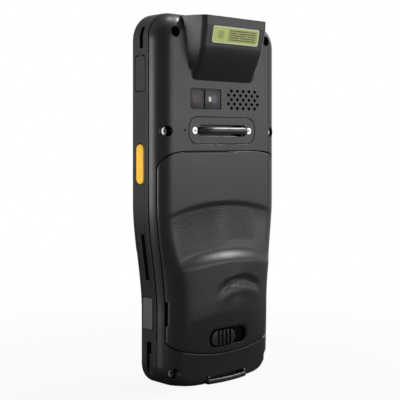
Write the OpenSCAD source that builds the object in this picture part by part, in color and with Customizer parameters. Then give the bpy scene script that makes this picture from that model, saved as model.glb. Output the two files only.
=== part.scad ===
// Portable barcode data terminal, standing on its lower end.
// X runs across the body, Y from the display (front) to the scanner hump (back), Z along the body.
// Depths named with v are measured from the flat back plane, positive towards the hump.

/* [Body] */
// Length of the body
body_len = 166.8; // [150:0.2:185]
// Width across the display end
head_w = 76.8; // [70:0.2:84]
// Width across the grip
grip_w = 67; // [62:0.5:70]
// Height at which the grip has its full narrow width
waist_lo = 33; // [28:1:40]
// Height at which the body has its full width
waist_hi = 82; // [72:1:88]
// Thickness from the display face to the flat back plane
body_t = 19; // [17:0.5:24]
// Radius of the two lower corners
foot_r = 10; // [8:0.5:14]
// Radius of the two upper corners
crown_r = 12.5; // [9:0.5:16]
// Radius of the long back edges beside the scanner
edge_r = 8.8; // [7.2:0.1:9.5]
// Radius of the back edge at the lower end
foot_edge_r = 8.25; // [5.5:0.25:8.5]
// Radius of the front edges
brow_r = 1.2; // [0.8:0.1:3]
// Wall thickness of the two housings
wall = 1.9; // [1.6:0.1:2.4]
// Depth of the housing seam in front of the back plane
seam_v = 7.6; // [7:0.1:8.5]
// Width of the shadow groove along the seam
seam_gap = 0.25; // [0.1:0.05:0.4]
// How far the keypad face lies behind the display face
keypad_drop = 1; // [0.6:0.1:1.4]

/* [Scanner hump] */
// Height of the hump above the back plane
hump_rise = 9.3; // [6:0.1:12]
// Distance of the hump's foot below the top of the body
hump_len = 30; // [25:0.1:30.5]
// Distance of the crease below the label face from the top of the body
brow_drop = 14.2; // [10:0.1:15]
// Half width of the hump on the back plane, at the top
hump_base = 23.8; // [22:0.1:27]
// Half width of the hump's crest, at the top
hump_crest = 20.6; // [17:0.1:21]
// Distance of the hump's end face below the top of the body
hump_end_drop = 1.5; // [0.6:0.1:2]

/* [Scanner] */
// Width of the scan engine
engine_w = 22; // [18:0.5:24]
// Depth of the scan engine
engine_d = 10.2; // [9:0.1:10.4]
// Length of the scan engine
engine_len = 12; // [10:0.5:12.5]
// Width of the scan window
scan_window_w = 28; // [24:0.5:30]
// Depth of the scan window
scan_window_d = 9.6; // [8:0.1:10]
// Thickness of the scan window
scan_window_t = 1.2; // [0.8:0.1:1.4]

/* [Battery cover] */
// Distance of the cover's upper edge below the top of the body
cover_drop = 61.75; // [60:0.25:63]
// How much the cover's upper corners lie below its upper edge
cover_shoulder = 8; // [6:0.25:11]
// Height of the cover's lower edge at the middle
cover_foot = 13; // [12:0.25:14]
// How much the lower edge rises at the sides
cover_foot_rise = 7.4; // [6:0.25:9.5]
// Strip of housing left beside the cover
cover_land = 1.7; // [1.6:0.1:3]
// Thickness of the cover
cover_t = 1.6; // [1.2:0.1:2]
// Depth of the cover's seat behind the back plane
cover_seat_v = 5.2; // [4.6:0.1:5.4]
// Width of the cover's rim
cover_rim = 1.5; // [1.2:0.1:2]
// Rise of the palm swell above the back plane
palm_rise = 5.4; // [4:0.1:7]
// Rise of the lower lip above the back plane
lip_rise = 2.1; // [1.5:0.1:3]
// Depth of the finger scoop above the palm swell
scoop_depth = 0.8; // [0:0.1:1.2]
// Depth of the small thumb scoop
thumb_depth = 0.9; // [0:0.1:1.2]
// Place of the thumb scoop across the body
thumb_x = -6; // [-8:0.5:0]

/* [Battery and latch] */
// Width of the battery
battery_w = 50; // [44:1:52]
// Distance of the battery's upper end below the cover's upper edge
battery_drop = 12; // [11:0.5:18]
// Thickness of the battery's main block
battery_t = 5.4; // [4.5:0.1:5.6]
// Height of the battery's lower end
battery_z = 26; // [25.5:0.25:27]
// Thickness added by the battery's lower cell
battery_step = 4.2; // [3:0.1:4.4]
// Height of the latch above the lower end
latch_z = 20.3; // [19.5:0.1:21]
// Width of the latch recess
latch_w = 23; // [20:0.5:24]
// Height of the latch recess
latch_h = 7.3; // [6:0.1:7.6]
// Travel of the latch slider
latch_travel = 4.6; // [4:0.1:4.8]

/* [Display] */
// Width of the cover glass
glass_w = 58; // [54:0.5:62]
// Distance of the glass's upper edge below the top of the body
glass_drop = 10.8; // [9.8:0.1:14]
// Height of the glass's lower edge
glass_z = 62; // [61:0.5:64]
// Thickness of the cover glass
glass_t = 1.4; // [1:0.1:1.5]
// Thickness of its adhesive frame
tape_t = 0.2; // [0.1:0.05:0.3]
// Dark border of the glass
glass_border = 2; // [1.6:0.1:3]

/* [Keypad] */
// Spacing of the columns
key_pitch_x = 18.4; // [17:0.1:19]
// Spacing of the rows
key_pitch_z = 9.6; // [8.6:0.1:9.8]
// Height of the lowest row
key_z = 15.2; // [14.5:0.1:17]
// Width of a key
key_w = 14.6; // [12:0.1:15.4]
// Height of a key
key_h = 6.8; // [5.6:0.1:7]
// How far a key stands above the keypad face
key_proud = 0.7; // [0.4:0.1:0.9]
// Travel of a key
key_travel = 0.35; // [0.2:0.05:0.4]

/* [Side controls] */
// Length of a scan trigger
trigger_len = 17.8; // [14:0.2:20]
// Width of a scan trigger
trigger_w = 5.1; // [4.6:0.1:5.8]
// Distance of a scan trigger's middle below the top of the body
trigger_drop = 67.5; // [65:0.1:69]
// How far a trigger stands out of the side
trigger_proud = 0.6; // [0.3:0.1:1]
// Travel of a trigger
trigger_travel = 0.7; // [0.4:0.1:0.8]
// Width of a port cover
flap_w = 7; // [6:0.1:7.4]
// Thickness of a port cover
flap_t = 1.25; // [1:0.05:1.4]
// Distance of the upper port cover's lower edge below the top of the body
jack_drop = 35.2; // [33.8:0.1:35.8]
// Length of the upper port cover
jack_len = 15.7; // [14:0.1:16]
// Height of the lower port cover's lower edge
usb_z = 25.4; // [24.8:0.1:26]
// Length of the lower port cover
usb_len = 14.3; // [13:0.1:14.6]
// How far the lower port cover stands out of the side
usb_proud = 0.35; // [0:0.05:0.6]
// Radius of the headset jack's bore
jack_r = 1.8; // [1.7:0.05:1.9]

/* [Back fittings] */
// Half width of the strap plate
plate_half_w = 21; // [20:0.5:22]
// Height of the strap plate
plate_h = 12.1; // [11:0.1:12.6]
// Distance of the strap plate's middle below the top of the body
plate_drop = 52.5; // [52.2:0.1:53]
// Diameter of the strap bar
bar_d = 3.2; // [2.6:0.1:3.4]
// Height of the strap bar's middle above the back plane
bar_v = 3; // [2:0.1:4]
// Half span of the strap bar
bar_half = 13.6; // [12:0.1:14]
// Place of the strap screws on either side
strap_screw_x = 17.2; // [17:0.1:17.6]
// Width of the camera window
camera_w = 8; // [7:0.1:8]
// Width of the flash window
flash_w = 9.9; // [9:0.1:9.9]
// Height of both windows
window_h = 8.9; // [7.5:0.1:9]
// Distance of the windows' middle below the top of the body
window_drop = 38.2; // [37.6:0.1:38.8]
// Diameter of a speaker hole
hole_d = 1.4; // [1:0.1:1.6]
// Width of the label
label_w = 29.2; // [24:0.2:31]
// Length of the label
label_h = 7.6; // [6:0.1:8]

/* [Fasteners and clearances] */
// Radius of a housing screw's head
head_r = 1.9; // [1.5:0.1:2]
// Radius of a housing screw's shank
shank_r = 0.95; // [0.8:0.05:1]
// Radial play of a shank in its bore
shank_play = 0.05; // [0.03:0.01:0.1]
// Radius of the upper and middle screw wells
well_r = 2.4; // [2.1:0.1:2.6]
// Clearance round fixed parts in their seats
fit_gap = 0.15; // [0.1:0.05:0.2]
// Clearance round moving parts
run_gap = 0.2; // [0.15:0.05:0.3]

/* [Hidden] */
KEYS = ["key_left", "key_scan", "key_right", "key_1", "key_2", "key_3", "key_4", "key_5", "key_6",
        "key_7", "key_8", "key_9", "key_star", "key_0", "key_hash"];
$fn = 32;
key_cols = 3;
key_rows = 5;

// Housing depths, all measured from the back plane
front_v = -body_t;
keypad_v = front_v + keypad_drop;
cavity_v = keypad_v + 1.4;
frame_v = cavity_v + 1.9;
frame_t = 1.2;
frame_back_v = frame_v + frame_t;
board_v = frame_back_v + 0.9;
board_t = 1;
board_back_v = board_v + board_t;
skin_v = -2;
seat_v = -cover_seat_v;
tray_floor_v = seat_v - 2.8;
tray_under_v = tray_floor_v - 1.1;
back_y = (body_t - hump_rise) / 2;
half_head = head_w / 2;
half_grip = grip_w / 2;
ledge_in = wall + 1.5;
hump_top = body_len - hump_end_drop;
hump_foot = body_len - hump_len;
hump_brow = body_len - brow_drop;
cover_top = body_len - cover_drop;
cover_corner = cover_top - cover_shoulder;
battery_top = cover_top - battery_drop;
glass_len = body_len - glass_drop - glass_z;
glass_mid = glass_z + glass_len / 2;
trigger_z = body_len - trigger_drop;
jack_z = body_len - jack_drop;
plate_z = body_len - plate_drop;
window_z = body_len - window_drop;
lanyard_z = body_len - 11.4;
lanyard_len = 9.5;
brow_v = hump_rise - 1.7;
label_face_top = hump_top - 3.6;
upper_bay_z = cover_top + 2.6;
screw_spots = [[half_head - 9.6, body_len - 9.1], [half_head - 5.5, plate_z - 0.4], [half_grip - 4.7, 7.1]];
well_floors_v = [-5.9, -4.6, -4.6];
post_r = 2.6;
post_foot_v = frame_v + 0.4;
trigger_v = front_v + 6;
trigger_flange_t = 0.75;
flap_v = front_v + 5.9;
jack_v = frame_v + 2.35;
usb_v = front_v + 5.5;
slot_v = front_v + 6.5;
lanyard_v = front_v + 6.7;
cradle_v = front_v + 6.25;

// Layout of the windows, grille and scan window on the head
camera_x = 15.75;
flash_x = 6.3;
lens_x = camera_x + 0.45;
led_x = flash_x + 1.1;
window_seat_v = -0.9;
grille_x = -13.3;
grille_z = window_z + 0.2;
grille_pitch_x = 3.85;
grille_pitch_z = 2;
scan_v = 1.6;
scan_window_z = hump_top - 0.25 - scan_window_t;
engine_top = hump_top - 2.6;
engine_v = scan_v - engine_d / 2 - 1.5;
engine_z = engine_top - engine_len;
earpiece_z = body_len - 7;

// Sockets behind the side ports and the card slot
jack_x1 = half_head - wall - 1.2;
jack_x0 = jack_x1 - 12.5;
jack_mid = jack_z + jack_len / 2 - 0.5;
usb_x1 = half_grip - wall - 1.2;
usb_x0 = usb_x1 - 5.4;
usb_mid = usb_z + usb_len / 2 - 0.5;
card_x0 = half_grip - 13.5;
card_z = 57.9;
card_len = 20.6;
loop_half = 12;
loop_end_v = 3.1;
loop_bow_v = 4.4;
switch_x = half_head - wall - run_gap - trigger_flange_t - trigger_travel - 0.15;

// A smooth step from 0 to 1
function smooth(t) = let (c = min(max(t, 0), 1)) c * c * (3 - 2 * c);
// A straight blend between two values
function mix(a, b, t) = a + (b - a) * t;
// Half width of the body's outline at a height, without its corners
function waist(z) = mix(half_grip, half_head, smooth((z - waist_lo) / (waist_hi - waist_lo)));
// Half width of the outline with its rounded corners
function half_w(z) = waist(z)
    - (z < foot_r ? foot_r - sqrt(max(0, foot_r * foot_r - pow(foot_r - z, 2))) : 0)
    - (z > body_len - crown_r
        ? crown_r - sqrt(max(0, crown_r * crown_r - pow(z - body_len + crown_r, 2))) : 0);
// Radius of the long back edge, tighter round the lower end
function back_r(z) = mix(foot_edge_r, edge_r, smooth(z / foot_r));
// Inset of the outline at a depth, from the back edge's rounding
function edge_in(v, z) = let (r = back_r(z), d = v + r) d <= 0 ? 0 : r - sqrt(max(0, r * r - d * d));
// Drop of the back face at a distance from the outline
function edge_drop(d, r) = d >= r ? 0 : r - sqrt(max(0, r * r - pow(r - d, 2)));
// Rise of the palm swell along the middle
function palm(z) = mix(lip_rise, palm_rise, smooth(z / 38))
    * (1 - 0.6 * smooth((z - 54.5) / 6) - 0.4 * smooth((z - 57) / 20));
// Depth of the finger scoop above the swell
function scoop(z) = scoop_depth * smooth((z - 58) / 8) * (1 - smooth((z - 79.6) / 2.4));
// Depth of the thumb scoop
function thumb(x, z) = let (s = x - thumb_x, a = z + 0.024 * s * s)
    (thumb_depth * smooth((a - 43) / 1.6) * (1 - smooth((a - 46.5) / 2)) - 0.4 * exp(-pow((a - 41) / 2, 2)))
    * (1 - smooth((abs(s) - 9) / 5));
// Share of the swell that is left at a place across the body
function across(x, z) = max(0, 1 - pow(abs(x) / max(1, half_w(z) - cover_land), 3));
// Depth of the back face, with the swell but no scoops
function back_v(x, z) = palm(z + 0.0045 * x * x) * across(x, z) - edge_drop(half_w(z) - abs(x), back_r(z));
// Depth of the battery cover's outer face
function cover_v(x, z) = back_v(x, z) - thumb(x, z)
    - scoop(z + 0.0045 * x * x) * (1 - pow(abs(x) / (half_w(z) - cover_land), 4));

// One side of the body's outline from foot to crown, moved in by d and the edge rounding at v
function side_points(v, d) = concat(
    [for (a = [-90:11.25:0]) let (z = foot_r + foot_r * sin(a), i = d + edge_in(v, z))
        [half_grip - foot_r + (foot_r - i) * cos(a), foot_r + (foot_r - i) * sin(a)]],
    [for (k = [1:8]) let (z = mix(foot_r, body_len - crown_r, k / 9))
        [waist(z) - d - edge_in(v, z), z]],
    [for (a = [0:11.25:90]) let (z = body_len - crown_r + crown_r * sin(a), i = d + edge_in(v, z))
        [half_head - crown_r + (crown_r - i) * cos(a), body_len - crown_r + (crown_r - i) * sin(a)]]);
function outline(v, d) = let (s = side_points(v, d), m = len(s))
    concat(s, [for (i = [m - 1:-1:0]) [-s[i][0], s[i][1]]]);

// A body of rings, each given as [depth, inset]
module rings(levels) {
    m = len(side_points(0, 0));
    n = 2 * m;
    last = (len(levels) - 1) * n;
    points = [for (l = levels) for (p = outline(l[0], l[1])) [p[0], l[0], p[1]]];
    caps = [for (i = [0:m - 2]) each [[n - 1 - i, n - 2 - i, i + 1, i],
        [last + i, last + i + 1, last + n - 2 - i, last + n - 1 - i]]];
    sides = [for (k = [0:len(levels) - 2]) for (i = [0:n - 1]) let (j = (i + 1) % n)
        each [[k * n + i, k * n + j, (k + 1) * n + j], [k * n + i, (k + 1) * n + j, (k + 1) * n + i]]];
    polyhedron(points, concat(caps, sides), convexity = 6);
}

// A closed skin between two height fields over rows and columns: over[j][i] is [x, z, outer, inner]
module skin(over) {
    rows = len(over);
    cols = len(over[0]);
    all = rows * cols;
    points = concat([for (r = over) for (p = r) [p[0], p[2], p[1]]],
        [for (r = over) for (p = r) [p[0], p[3], p[1]]]);
    outer = [for (j = [0:rows - 2]) for (i = [0:cols - 2]) let (a = j * cols + i, b = a + cols)
        each [[a, a + 1, b + 1], [a, b + 1, b]]];
    inner = [for (f = outer) [f[2] + all, f[1] + all, f[0] + all]];
    foot = [for (i = [0:cols - 2]) each [[i, i + all, i + 1 + all], [i, i + 1 + all, i + 1]]];
    head = [for (i = [0:cols - 2]) let (a = (rows - 1) * cols + i)
        each [[a, a + 1, a + 1 + all], [a, a + 1 + all, a + all]]];
    left = [for (j = [0:rows - 2]) let (a = j * cols)
        each [[a, a + cols, a + cols + all], [a, a + cols + all, a + all]]];
    right = [for (j = [0:rows - 2]) let (a = j * cols + cols - 1)
        each [[a, a + all, a + cols + all], [a, a + cols + all, a + cols]]];
    polyhedron(points, concat(outer, inner, foot, head, left, right), convexity = 6);
}

// Places children whose depth is measured from the back plane
module from_back() {
    translate([0, back_y, 0]) children();
}

// Extrudes an outline drawn in x and z from depth v0 to v1
module slab(v0, v1) {
    translate([0, v1, 0]) rotate([90, 0, 0]) linear_extrude(v1 - v0) children();
}

// Extrudes an outline drawn in depth and height from x0 to x1
module side_slab(x0, x1) {
    translate([x0, 0, 0]) rotate([90, 0, 90]) linear_extrude(x1 - x0) children();
}

// A rectangle with round corners, centred
module round_rect(w, h, r) {
    square([w - 2 * r, h], center = true);
    square([w, h - 2 * r], center = true);
    for (x = [-1, 1])
        for (y = [-1, 1])
            translate([x * (w / 2 - r), y * (h / 2 - r)]) circle(r);
}

// A box given by its lowest and highest corners
module block(lo, hi) {
    translate(lo) cube(hi - lo);
}

// Copies children to both sides
module both_sides() {
    children();
    mirror([1, 0, 0]) children();
}

// A round bar along the depth, from v0 to v1
module pin_v(x, z, r, v0, v1) {
    translate([x, v0, z]) rotate([-90, 0, 0]) cylinder(r = r, h = v1 - v0);
}

// Outline of the battery cover, moved in by d, from a share s across and t along
function cover_half(z, d) = half_w(z) - cover_land - d;
cover_cols = [for (a = [-90:6.4286:90.1]) sin(min(a, 90))];
cover_rows = concat([0, 0.017], [for (k = [1:44]) k / 45], [0.983, 1]);
function cover_z_hi(s, d) = mix(cover_corner, cover_top, sqrt(max(0, 1 - pow(abs(s), 8)))) - d;
function cover_z_lo(s, d) = cover_foot + cover_foot_rise * (0.7 * s * s + 0.3 * pow(abs(s), 24)) + d;
function cover_place(s, t, d) = let (z = mix(cover_z_lo(s, d), cover_z_hi(s, d), t))
    [s * cover_half(z, d), z];
function cover_outline(d) = let (c = len(cover_cols) - 1, r = len(cover_rows) - 1) concat(
    [for (s = cover_cols) cover_place(s, 0, d)],
    [for (j = [2:2:r - 1]) cover_place(1, cover_rows[j], d)],
    [for (i = [c:-1:0]) cover_place(cover_cols[i], 1, d)],
    [for (j = [r - 2:-2:1]) cover_place(-1, cover_rows[j], d)]);

// Middle of key i in x and z, counted from the upper left
function key_place(i) = [(i % key_cols - 1) * key_pitch_x,
    key_z + (key_rows - 1 - floor(i / key_cols)) * key_pitch_z];

// Copies children to the housing screws, from spot first to spot last
module at_screws(first = 0, last = len(screw_spots) - 1) {
    for (i = [first:last])
        for (side = [-1, 1]) {
            $well_floor_v = well_floors_v[i];
            translate([side * screw_spots[i][0], 0, screw_spots[i][1]]) children();
        }
}

// Copies children to the keys
module at_keys() {
    for (i = [0:len(KEYS) - 1])
        translate(key_place(i)) children();
}

// Copies children to the dock contacts, in x
module at_contacts() {
    for (i = [-2.5:2.5])
        translate([i * 4, cradle_v, 0]) children();
}

// ---------------------------------------------------------------- housings

// Front shell: display seat, keypad face, side ports and screw posts in one moulding
module front_form() {
    rings([for (a = [0:30:90]) [front_v + brow_r * (1 - cos(a)), brow_r * (1 - sin(a))],
        [-seam_v - 3.9, 0], [-seam_v - seam_gap, 0], [-seam_v, seam_gap]]);
}

module front_cavity() {
    rings([[cavity_v, ledge_in], [frame_v, ledge_in]]);
    rings([[frame_v, wall], [-seam_v - 2.9, wall], [-seam_v - 1, wall], [-seam_v + 1, wall]]);
}

module display_opening() {
    slab(front_v - 1, front_v + glass_t + tape_t) translate([0, glass_mid])
        round_rect(glass_w + 2 * fit_gap, glass_len + 2 * fit_gap, 3);
    slab(front_v, cavity_v + 1) translate([0, glass_mid])
        square([glass_w - 2 * glass_border, glass_len - 2 * glass_border], center = true);
}

// Closed pocket behind a side slot
module slot_block(z0, z1, x1) {
    intersection() {
        block([x1 - wall - 3, cavity_v - 0.2, z0], [x1 + 3, cradle_v + 4.2, z1]);
        rings([[cavity_v - 1, wall / 2], [cradle_v + 5, wall / 2]]);
    }
}

module front_housing() {
    color("#2b2d30") from_back() difference() {
        union() {
            difference() {
                front_form();
                front_cavity();
            }
            at_screws() pin_v(0, 0, post_r, cavity_v - 0.2, -seam_v);
            slot_block(lanyard_z - lanyard_len / 2 - wall + 0.25, lanyard_z + lanyard_len / 2 + wall - 0.25,
                half_head - 0.2);
            both_sides() slot_block(12.5, 22.3, half_grip);
        }
        // keypad face, one step behind the display face
        block([-half_head, front_v - 1, -1], [half_head, keypad_v, glass_z - 1.8]);
        display_opening();
        // screw bores
        at_screws() pin_v(0, 0, shank_r + shank_play, post_foot_v, 0);
        // key openings
        slab(front_v, cavity_v + 0.5) at_keys()
            round_rect(key_w + 2 * run_gap, key_h + 2 * run_gap, 2);
        // earpiece slot
        slab(front_v - 1, front_v + glass_t) translate([0, earpiece_z]) round_rect(13, 2.4, 1.15);
        slab(front_v, cavity_v + 1) translate([0, earpiece_z]) square([9, 1.4], center = true);
        // trigger openings, with room for their flanges
        both_sides() {
            side_slab(half_head - wall - 3, half_head + 2) translate([trigger_v, trigger_z])
                round_rect(trigger_w + 2 * run_gap, trigger_len + 2 * run_gap, 2.95);
            block([half_head - ledge_in - 2, cavity_v, trigger_z - trigger_len / 2 - 2.5],
                [half_head - wall, -seam_v + 1, trigger_z + trigger_len / 2 + 2.5]);
        }
        // port cover seats and the openings behind them
        port_seat(half_head, flap_v, jack_z, jack_len);
        port_seat(half_grip + usb_proud, usb_v, usb_z, usb_len);
        translate([half_head - flap_t - fit_gap, 0, 0]) side_slab(0, 3)
            translate([flap_v, jack_z + jack_len]) circle(1.1);
        // socket room behind the seats
        block([half_head - ledge_in - 2, cavity_v, jack_z + 1],
            [half_head - wall, -seam_v + 1, jack_z + jack_len - 2]);
        block([half_grip - ledge_in - 2, cavity_v, usb_z + 1],
            [half_grip - wall, -seam_v + 1, usb_z + usb_len - 1]);
        // lanyard slot
        side_slab(half_head - wall - 2.4, half_head + 1) translate([lanyard_v, lanyard_z])
            round_rect(2.3, lanyard_len, 0.6);
        // long card slot
        side_slab(half_grip - 6, half_head + 2) translate([slot_v, card_z])
            square([2.1, card_len], center = true);
        // cradle grooves with a deeper catch pocket
        both_sides() {
            block([half_grip - 1.2, cradle_v - 1.65, 3.5], [half_grip + 3, cradle_v + 1.65, 20]);
            block([half_grip - 3.6, cradle_v - 1.65, 14.5], [half_grip + 3, cradle_v + 1.65, 20]);
        }
        // seam gasket groove
        difference() {
            rings([[-seam_v - 0.7, 0.75], [-seam_v + 1, 0.75]]);
            rings([[-seam_v - 1.7, 1.45], [-seam_v + 2, 1.45]]);
        }
        // dock contact seats
        at_contacts() translate([0, 0, -1]) cylinder(r = 1.3, h = 1.5);
    }
}

module port_seat(x, v, z, length) {
    side_slab(x - flap_t - fit_gap, x + 5) translate([v, z + length / 2])
        round_rect(flap_w + 2 * fit_gap, length + 2 * fit_gap, 1.1);
    side_slab(x - 6, x + 1) translate([v + 0.1, z + length / 2 - 0.5]) round_rect(5.4, length - 5, 1);
}

// The scanner hump as a stack of level cross-sections, moved in by d
function hump_h(z) = z > hump_brow
    ? mix(brow_v, hump_rise, min(1, (z - hump_brow) / (label_face_top - hump_brow)))
    : brow_v * (1 - pow(max(0, 1 - (z - hump_foot) / (hump_brow - hump_foot)), 1.35))
        - 0.4 * max(0, hump_foot - z);
function hump_half(z) = hump_base - 2.8 * (hump_top - z) / (hump_top - hump_foot);
function hump_crest_half(z) = hump_crest - 1.2 * (hump_top - z) / (hump_top - hump_foot);
function hump_section(z, d) = let (b = hump_half(z) - d, c = hump_crest_half(z) - 3 - d,
    h = hump_h(z) - d, r = min(3.2, max(0.1, h)))
    [[b, -seam_v], [b, -0.3], for (a = [20:17.5:90])
        [c + 3 * cos(a) + max(0, 2 - h) * 0.6, h - r * (1 - sin(a))]];

module hump_form(d, z0, z1, floor_v) {
    zs = concat([for (z = [z0:1.9:min(z1, hump_brow)]) z],
        [for (z = [hump_brow, label_face_top, z1]) if (z > z0 + 1) z]);
    half = [for (z = zs) hump_section(z, d)];
    m = len(half[0]);
    n = 2 * m;
    points = [for (j = [0:len(zs) - 1]) for (i = [0:n - 1])
        let (p = i < m ? half[j][i] : half[j][n - 1 - i])
        [i < m ? p[0] : -p[0], max(p[1], floor_v), zs[j]]];
    last = (len(zs) - 1) * n;
    caps = [for (i = [0:m - 2]) each [[i, i + 1, n - 2 - i, n - 1 - i],
        [last + n - 1 - i, last + n - 2 - i, last + i + 1, last + i]]];
    sides = [for (k = [0:len(zs) - 2]) for (i = [0:n - 1]) let (j = (i + 1) % n)
        each [[k * n + i, (k + 1) * n + j, k * n + j], [k * n + i, (k + 1) * n + i, (k + 1) * n + j]]];
    polyhedron(points, concat(caps, sides), convexity = 6);
}

// The chin below the battery cover, where the palm swell runs out to the lower lip
module chin_form() {
    skin([for (z = [0, 0.4, 1.1, 2.2, 4, 6, 8, 10, 12, 15, 18.5, 22])
        [for (a = [-90:9:90]) let (x = sin(a) * (half_w(z) - 0.02))
            [x, z, max(-seam_v + 0.05, back_v(x, z) - 1.1 * pow(1 - min(1, z / 2.2), 2)), -seam_v]]]);
}

// Rear shell: scanner hump, fitting seats, battery tray and screw wells in one moulding
module rear_housing() {
    color("#2b2d30") from_back() difference() {
        union() {
            difference() {
                union() {
                    rings([[-seam_v, seam_gap], [-seam_v + seam_gap, 0],
                        for (v = [-5.6, -3.9, -2.5, -1.4, -0.6, -0.15, 0]) [v, 0]]);
                    hump_form(0, hump_foot - 0.8, hump_top, -seam_v);
                    chin_form();
                }
                // seat of the battery cover
                slab(seat_v, hump_rise) polygon(cover_outline(0));
                // upper bay
                intersection() {
                    rings([for (v = [-seam_v - 1, -5.6, -3.9, skin_v - 0.6, skin_v]) [v, wall]]);
                    block([-half_head, -body_t, upper_bay_z], [half_head, hump_rise, body_len]);
                }
                hump_form(1.8, hump_foot + 2, hump_top - 2, -seam_v);
                block([-hump_half(hump_top) + 3, -seam_v - 1, hump_brow],
                    [hump_half(hump_top) - 3, skin_v, hump_top - 2]);
                block([-18, -seam_v - 1, 3.2], [18, -1, cover_foot - 3]);
            }
            // battery tray
            block([-battery_w / 2 - 1.4, tray_under_v, battery_z - 1.5],
                [battery_w / 2 + 1.4, seat_v - 0.5, battery_top + 1.5]);
            // screw bosses in the upper bay
            at_screws(0, 0) pin_v(0, 0, 3.3, -seam_v, skin_v + 0.2);
            at_screws(1, 1) pin_v(0, 0, 3.3, -seam_v, skin_v - 0.6);
            // block behind the strap plate
            block([-plate_half_w + 0.4, -7, plate_z - plate_h / 2 - 0.4],
                [plate_half_w - 0.4, skin_v + 0.2, plate_z + plate_h / 2]);
            // keeper that the latch tongue slides under
            latch_keeper();
        }
        // battery pocket
        block([-battery_w / 2 - run_gap, tray_floor_v, battery_z - run_gap],
            [battery_w / 2 + run_gap, hump_rise, battery_top + run_gap]);
        // contact slot in the tray's upper end
        block([-7.3, tray_under_v - 1, battery_top - 0.5], [7.3, seat_v + 1, battery_top + 4.3]);
        // screw wells and holes
        at_screws() {
            pin_v(0, 0, well_r, $well_floor_v, hump_rise);
            pin_v(0, 0, shank_r + 0.25, -seam_v - 1, 0);
        }
        // slots for the cover's upper tabs
        both_sides() block([11.5, -4.6, cover_z_hi(0.55, 0) - 2], [20.5, -2.2, upper_bay_z + 1]);
        // strap plate seat, trough and bracket pockets
        translate([0, 0, plate_z]) {
            slab(-1.2, 2) round_rect(2 * plate_half_w + 2 * fit_gap, plate_h + 2 * fit_gap, 5.1);
            slab(-4.4, 2) round_rect(2 * bar_half + 3.6, 5, 2.4);
            both_sides() {
                block([bar_half - 0.8, -2.5, -2.6], [strap_screw_x + 2.9, 0, 2.6]);
                pin_v(strap_screw_x, 0, 0.8 + shank_play, -5.8, 0);
                block([bar_half - 0.8, -4.4, -1.8], [bar_half + 1.8, 0, 1.8]);
            }
        }
        // window seats and apertures
        slab(window_seat_v, 2) translate([camera_x, window_z])
            square([camera_w + 2 * fit_gap, window_h + 2 * fit_gap], center = true);
        slab(window_seat_v, 2) translate([flash_x, window_z])
            square([flash_w + 2 * fit_gap, window_h + 2 * fit_gap], center = true);
        pin_v(lens_x, window_z, 3.1, -3, 1);
        pin_v(led_x, window_z, 2.2, -3, 1);
        // loudspeaker grille, five staggered rows
        for (row = [-2:2])
            for (i = [0:(abs(row) == 1 ? 5 : 4)])
                pin_v(grille_x + (i - (abs(row) == 1 ? 2.5 : 2)) * grille_pitch_x,
                    grille_z + row * grille_pitch_z, hole_d / 2, skin_v - 1, 1);
        // microphone hole
        pin_v(23.4, plate_z + 0.1, 0.5, skin_v - 1, 1);
        // scan window seat and aperture in the hump's end
        translate([0, scan_v, scan_window_z])
            linear_extrude(5) round_rect(scan_window_w + 2 * fit_gap, scan_window_d + 2 * fit_gap, 2);
        translate([0, scan_v, hump_top - 5]) linear_extrude(6)
            round_rect(scan_window_w - 3, scan_window_d - 2.4, 1.5);
        // groove of the cover seal
        slab(seat_v - 0.6, seat_v + 0.1) difference() {
            polygon(cover_outline(0.3));
            polygon(cover_outline(1.5));
        }
        // notch behind the strap loop
        block([-loop_half + 1.8, -0.4, -1], [loop_half - 1.8, 9, 3.6]);
        both_sides() block([loop_half - 1.9, -0.8, -1], [loop_half + 0.3, 9, 3.7]);
    }
}

module latch_keeper() {
    block([-13, seat_v - 0.5, latch_z - 2.6], [-10.6, -0.2, latch_z + 2.6]);
    block([-12, -1.2, latch_z - 2.6], [-6.8, -0.2, latch_z + 2.6]);
}

module housing_gasket() {
    color("#18181a") from_back() difference() {
        rings([[-seam_v - 0.65, 0.9], [-seam_v - 0.02, 0.9]]);
        rings([[-seam_v - 1.65, 1.3], [-seam_v + 1, 1.3]]);
    }
}

// ---------------------------------------------------------------- display and inner parts

module display_glass() {
    color("#0b0c0e") from_back() slab(front_v + 0.05, front_v + glass_t)
        translate([0, glass_mid])
        round_rect(glass_w, glass_len, 2.85);
}

module display_gasket() {
    color("#111111") from_back() slab(front_v + glass_t, front_v + glass_t + tape_t)
        translate([0, glass_mid])
        difference() {
            round_rect(glass_w, glass_len, 2.85);
            square([glass_w - 2 * glass_border + 0.2, glass_len - 2 * glass_border + 0.2], center = true);
        }
}

module display_panel() {
    color("#20242b") from_back() slab(front_v + glass_t + tape_t, frame_v)
        translate([0, glass_mid])
        square([glass_w - 2 * glass_border - 2 * fit_gap, glass_len - 2 * glass_border - 2 * fit_gap],
            center = true);
}

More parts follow.
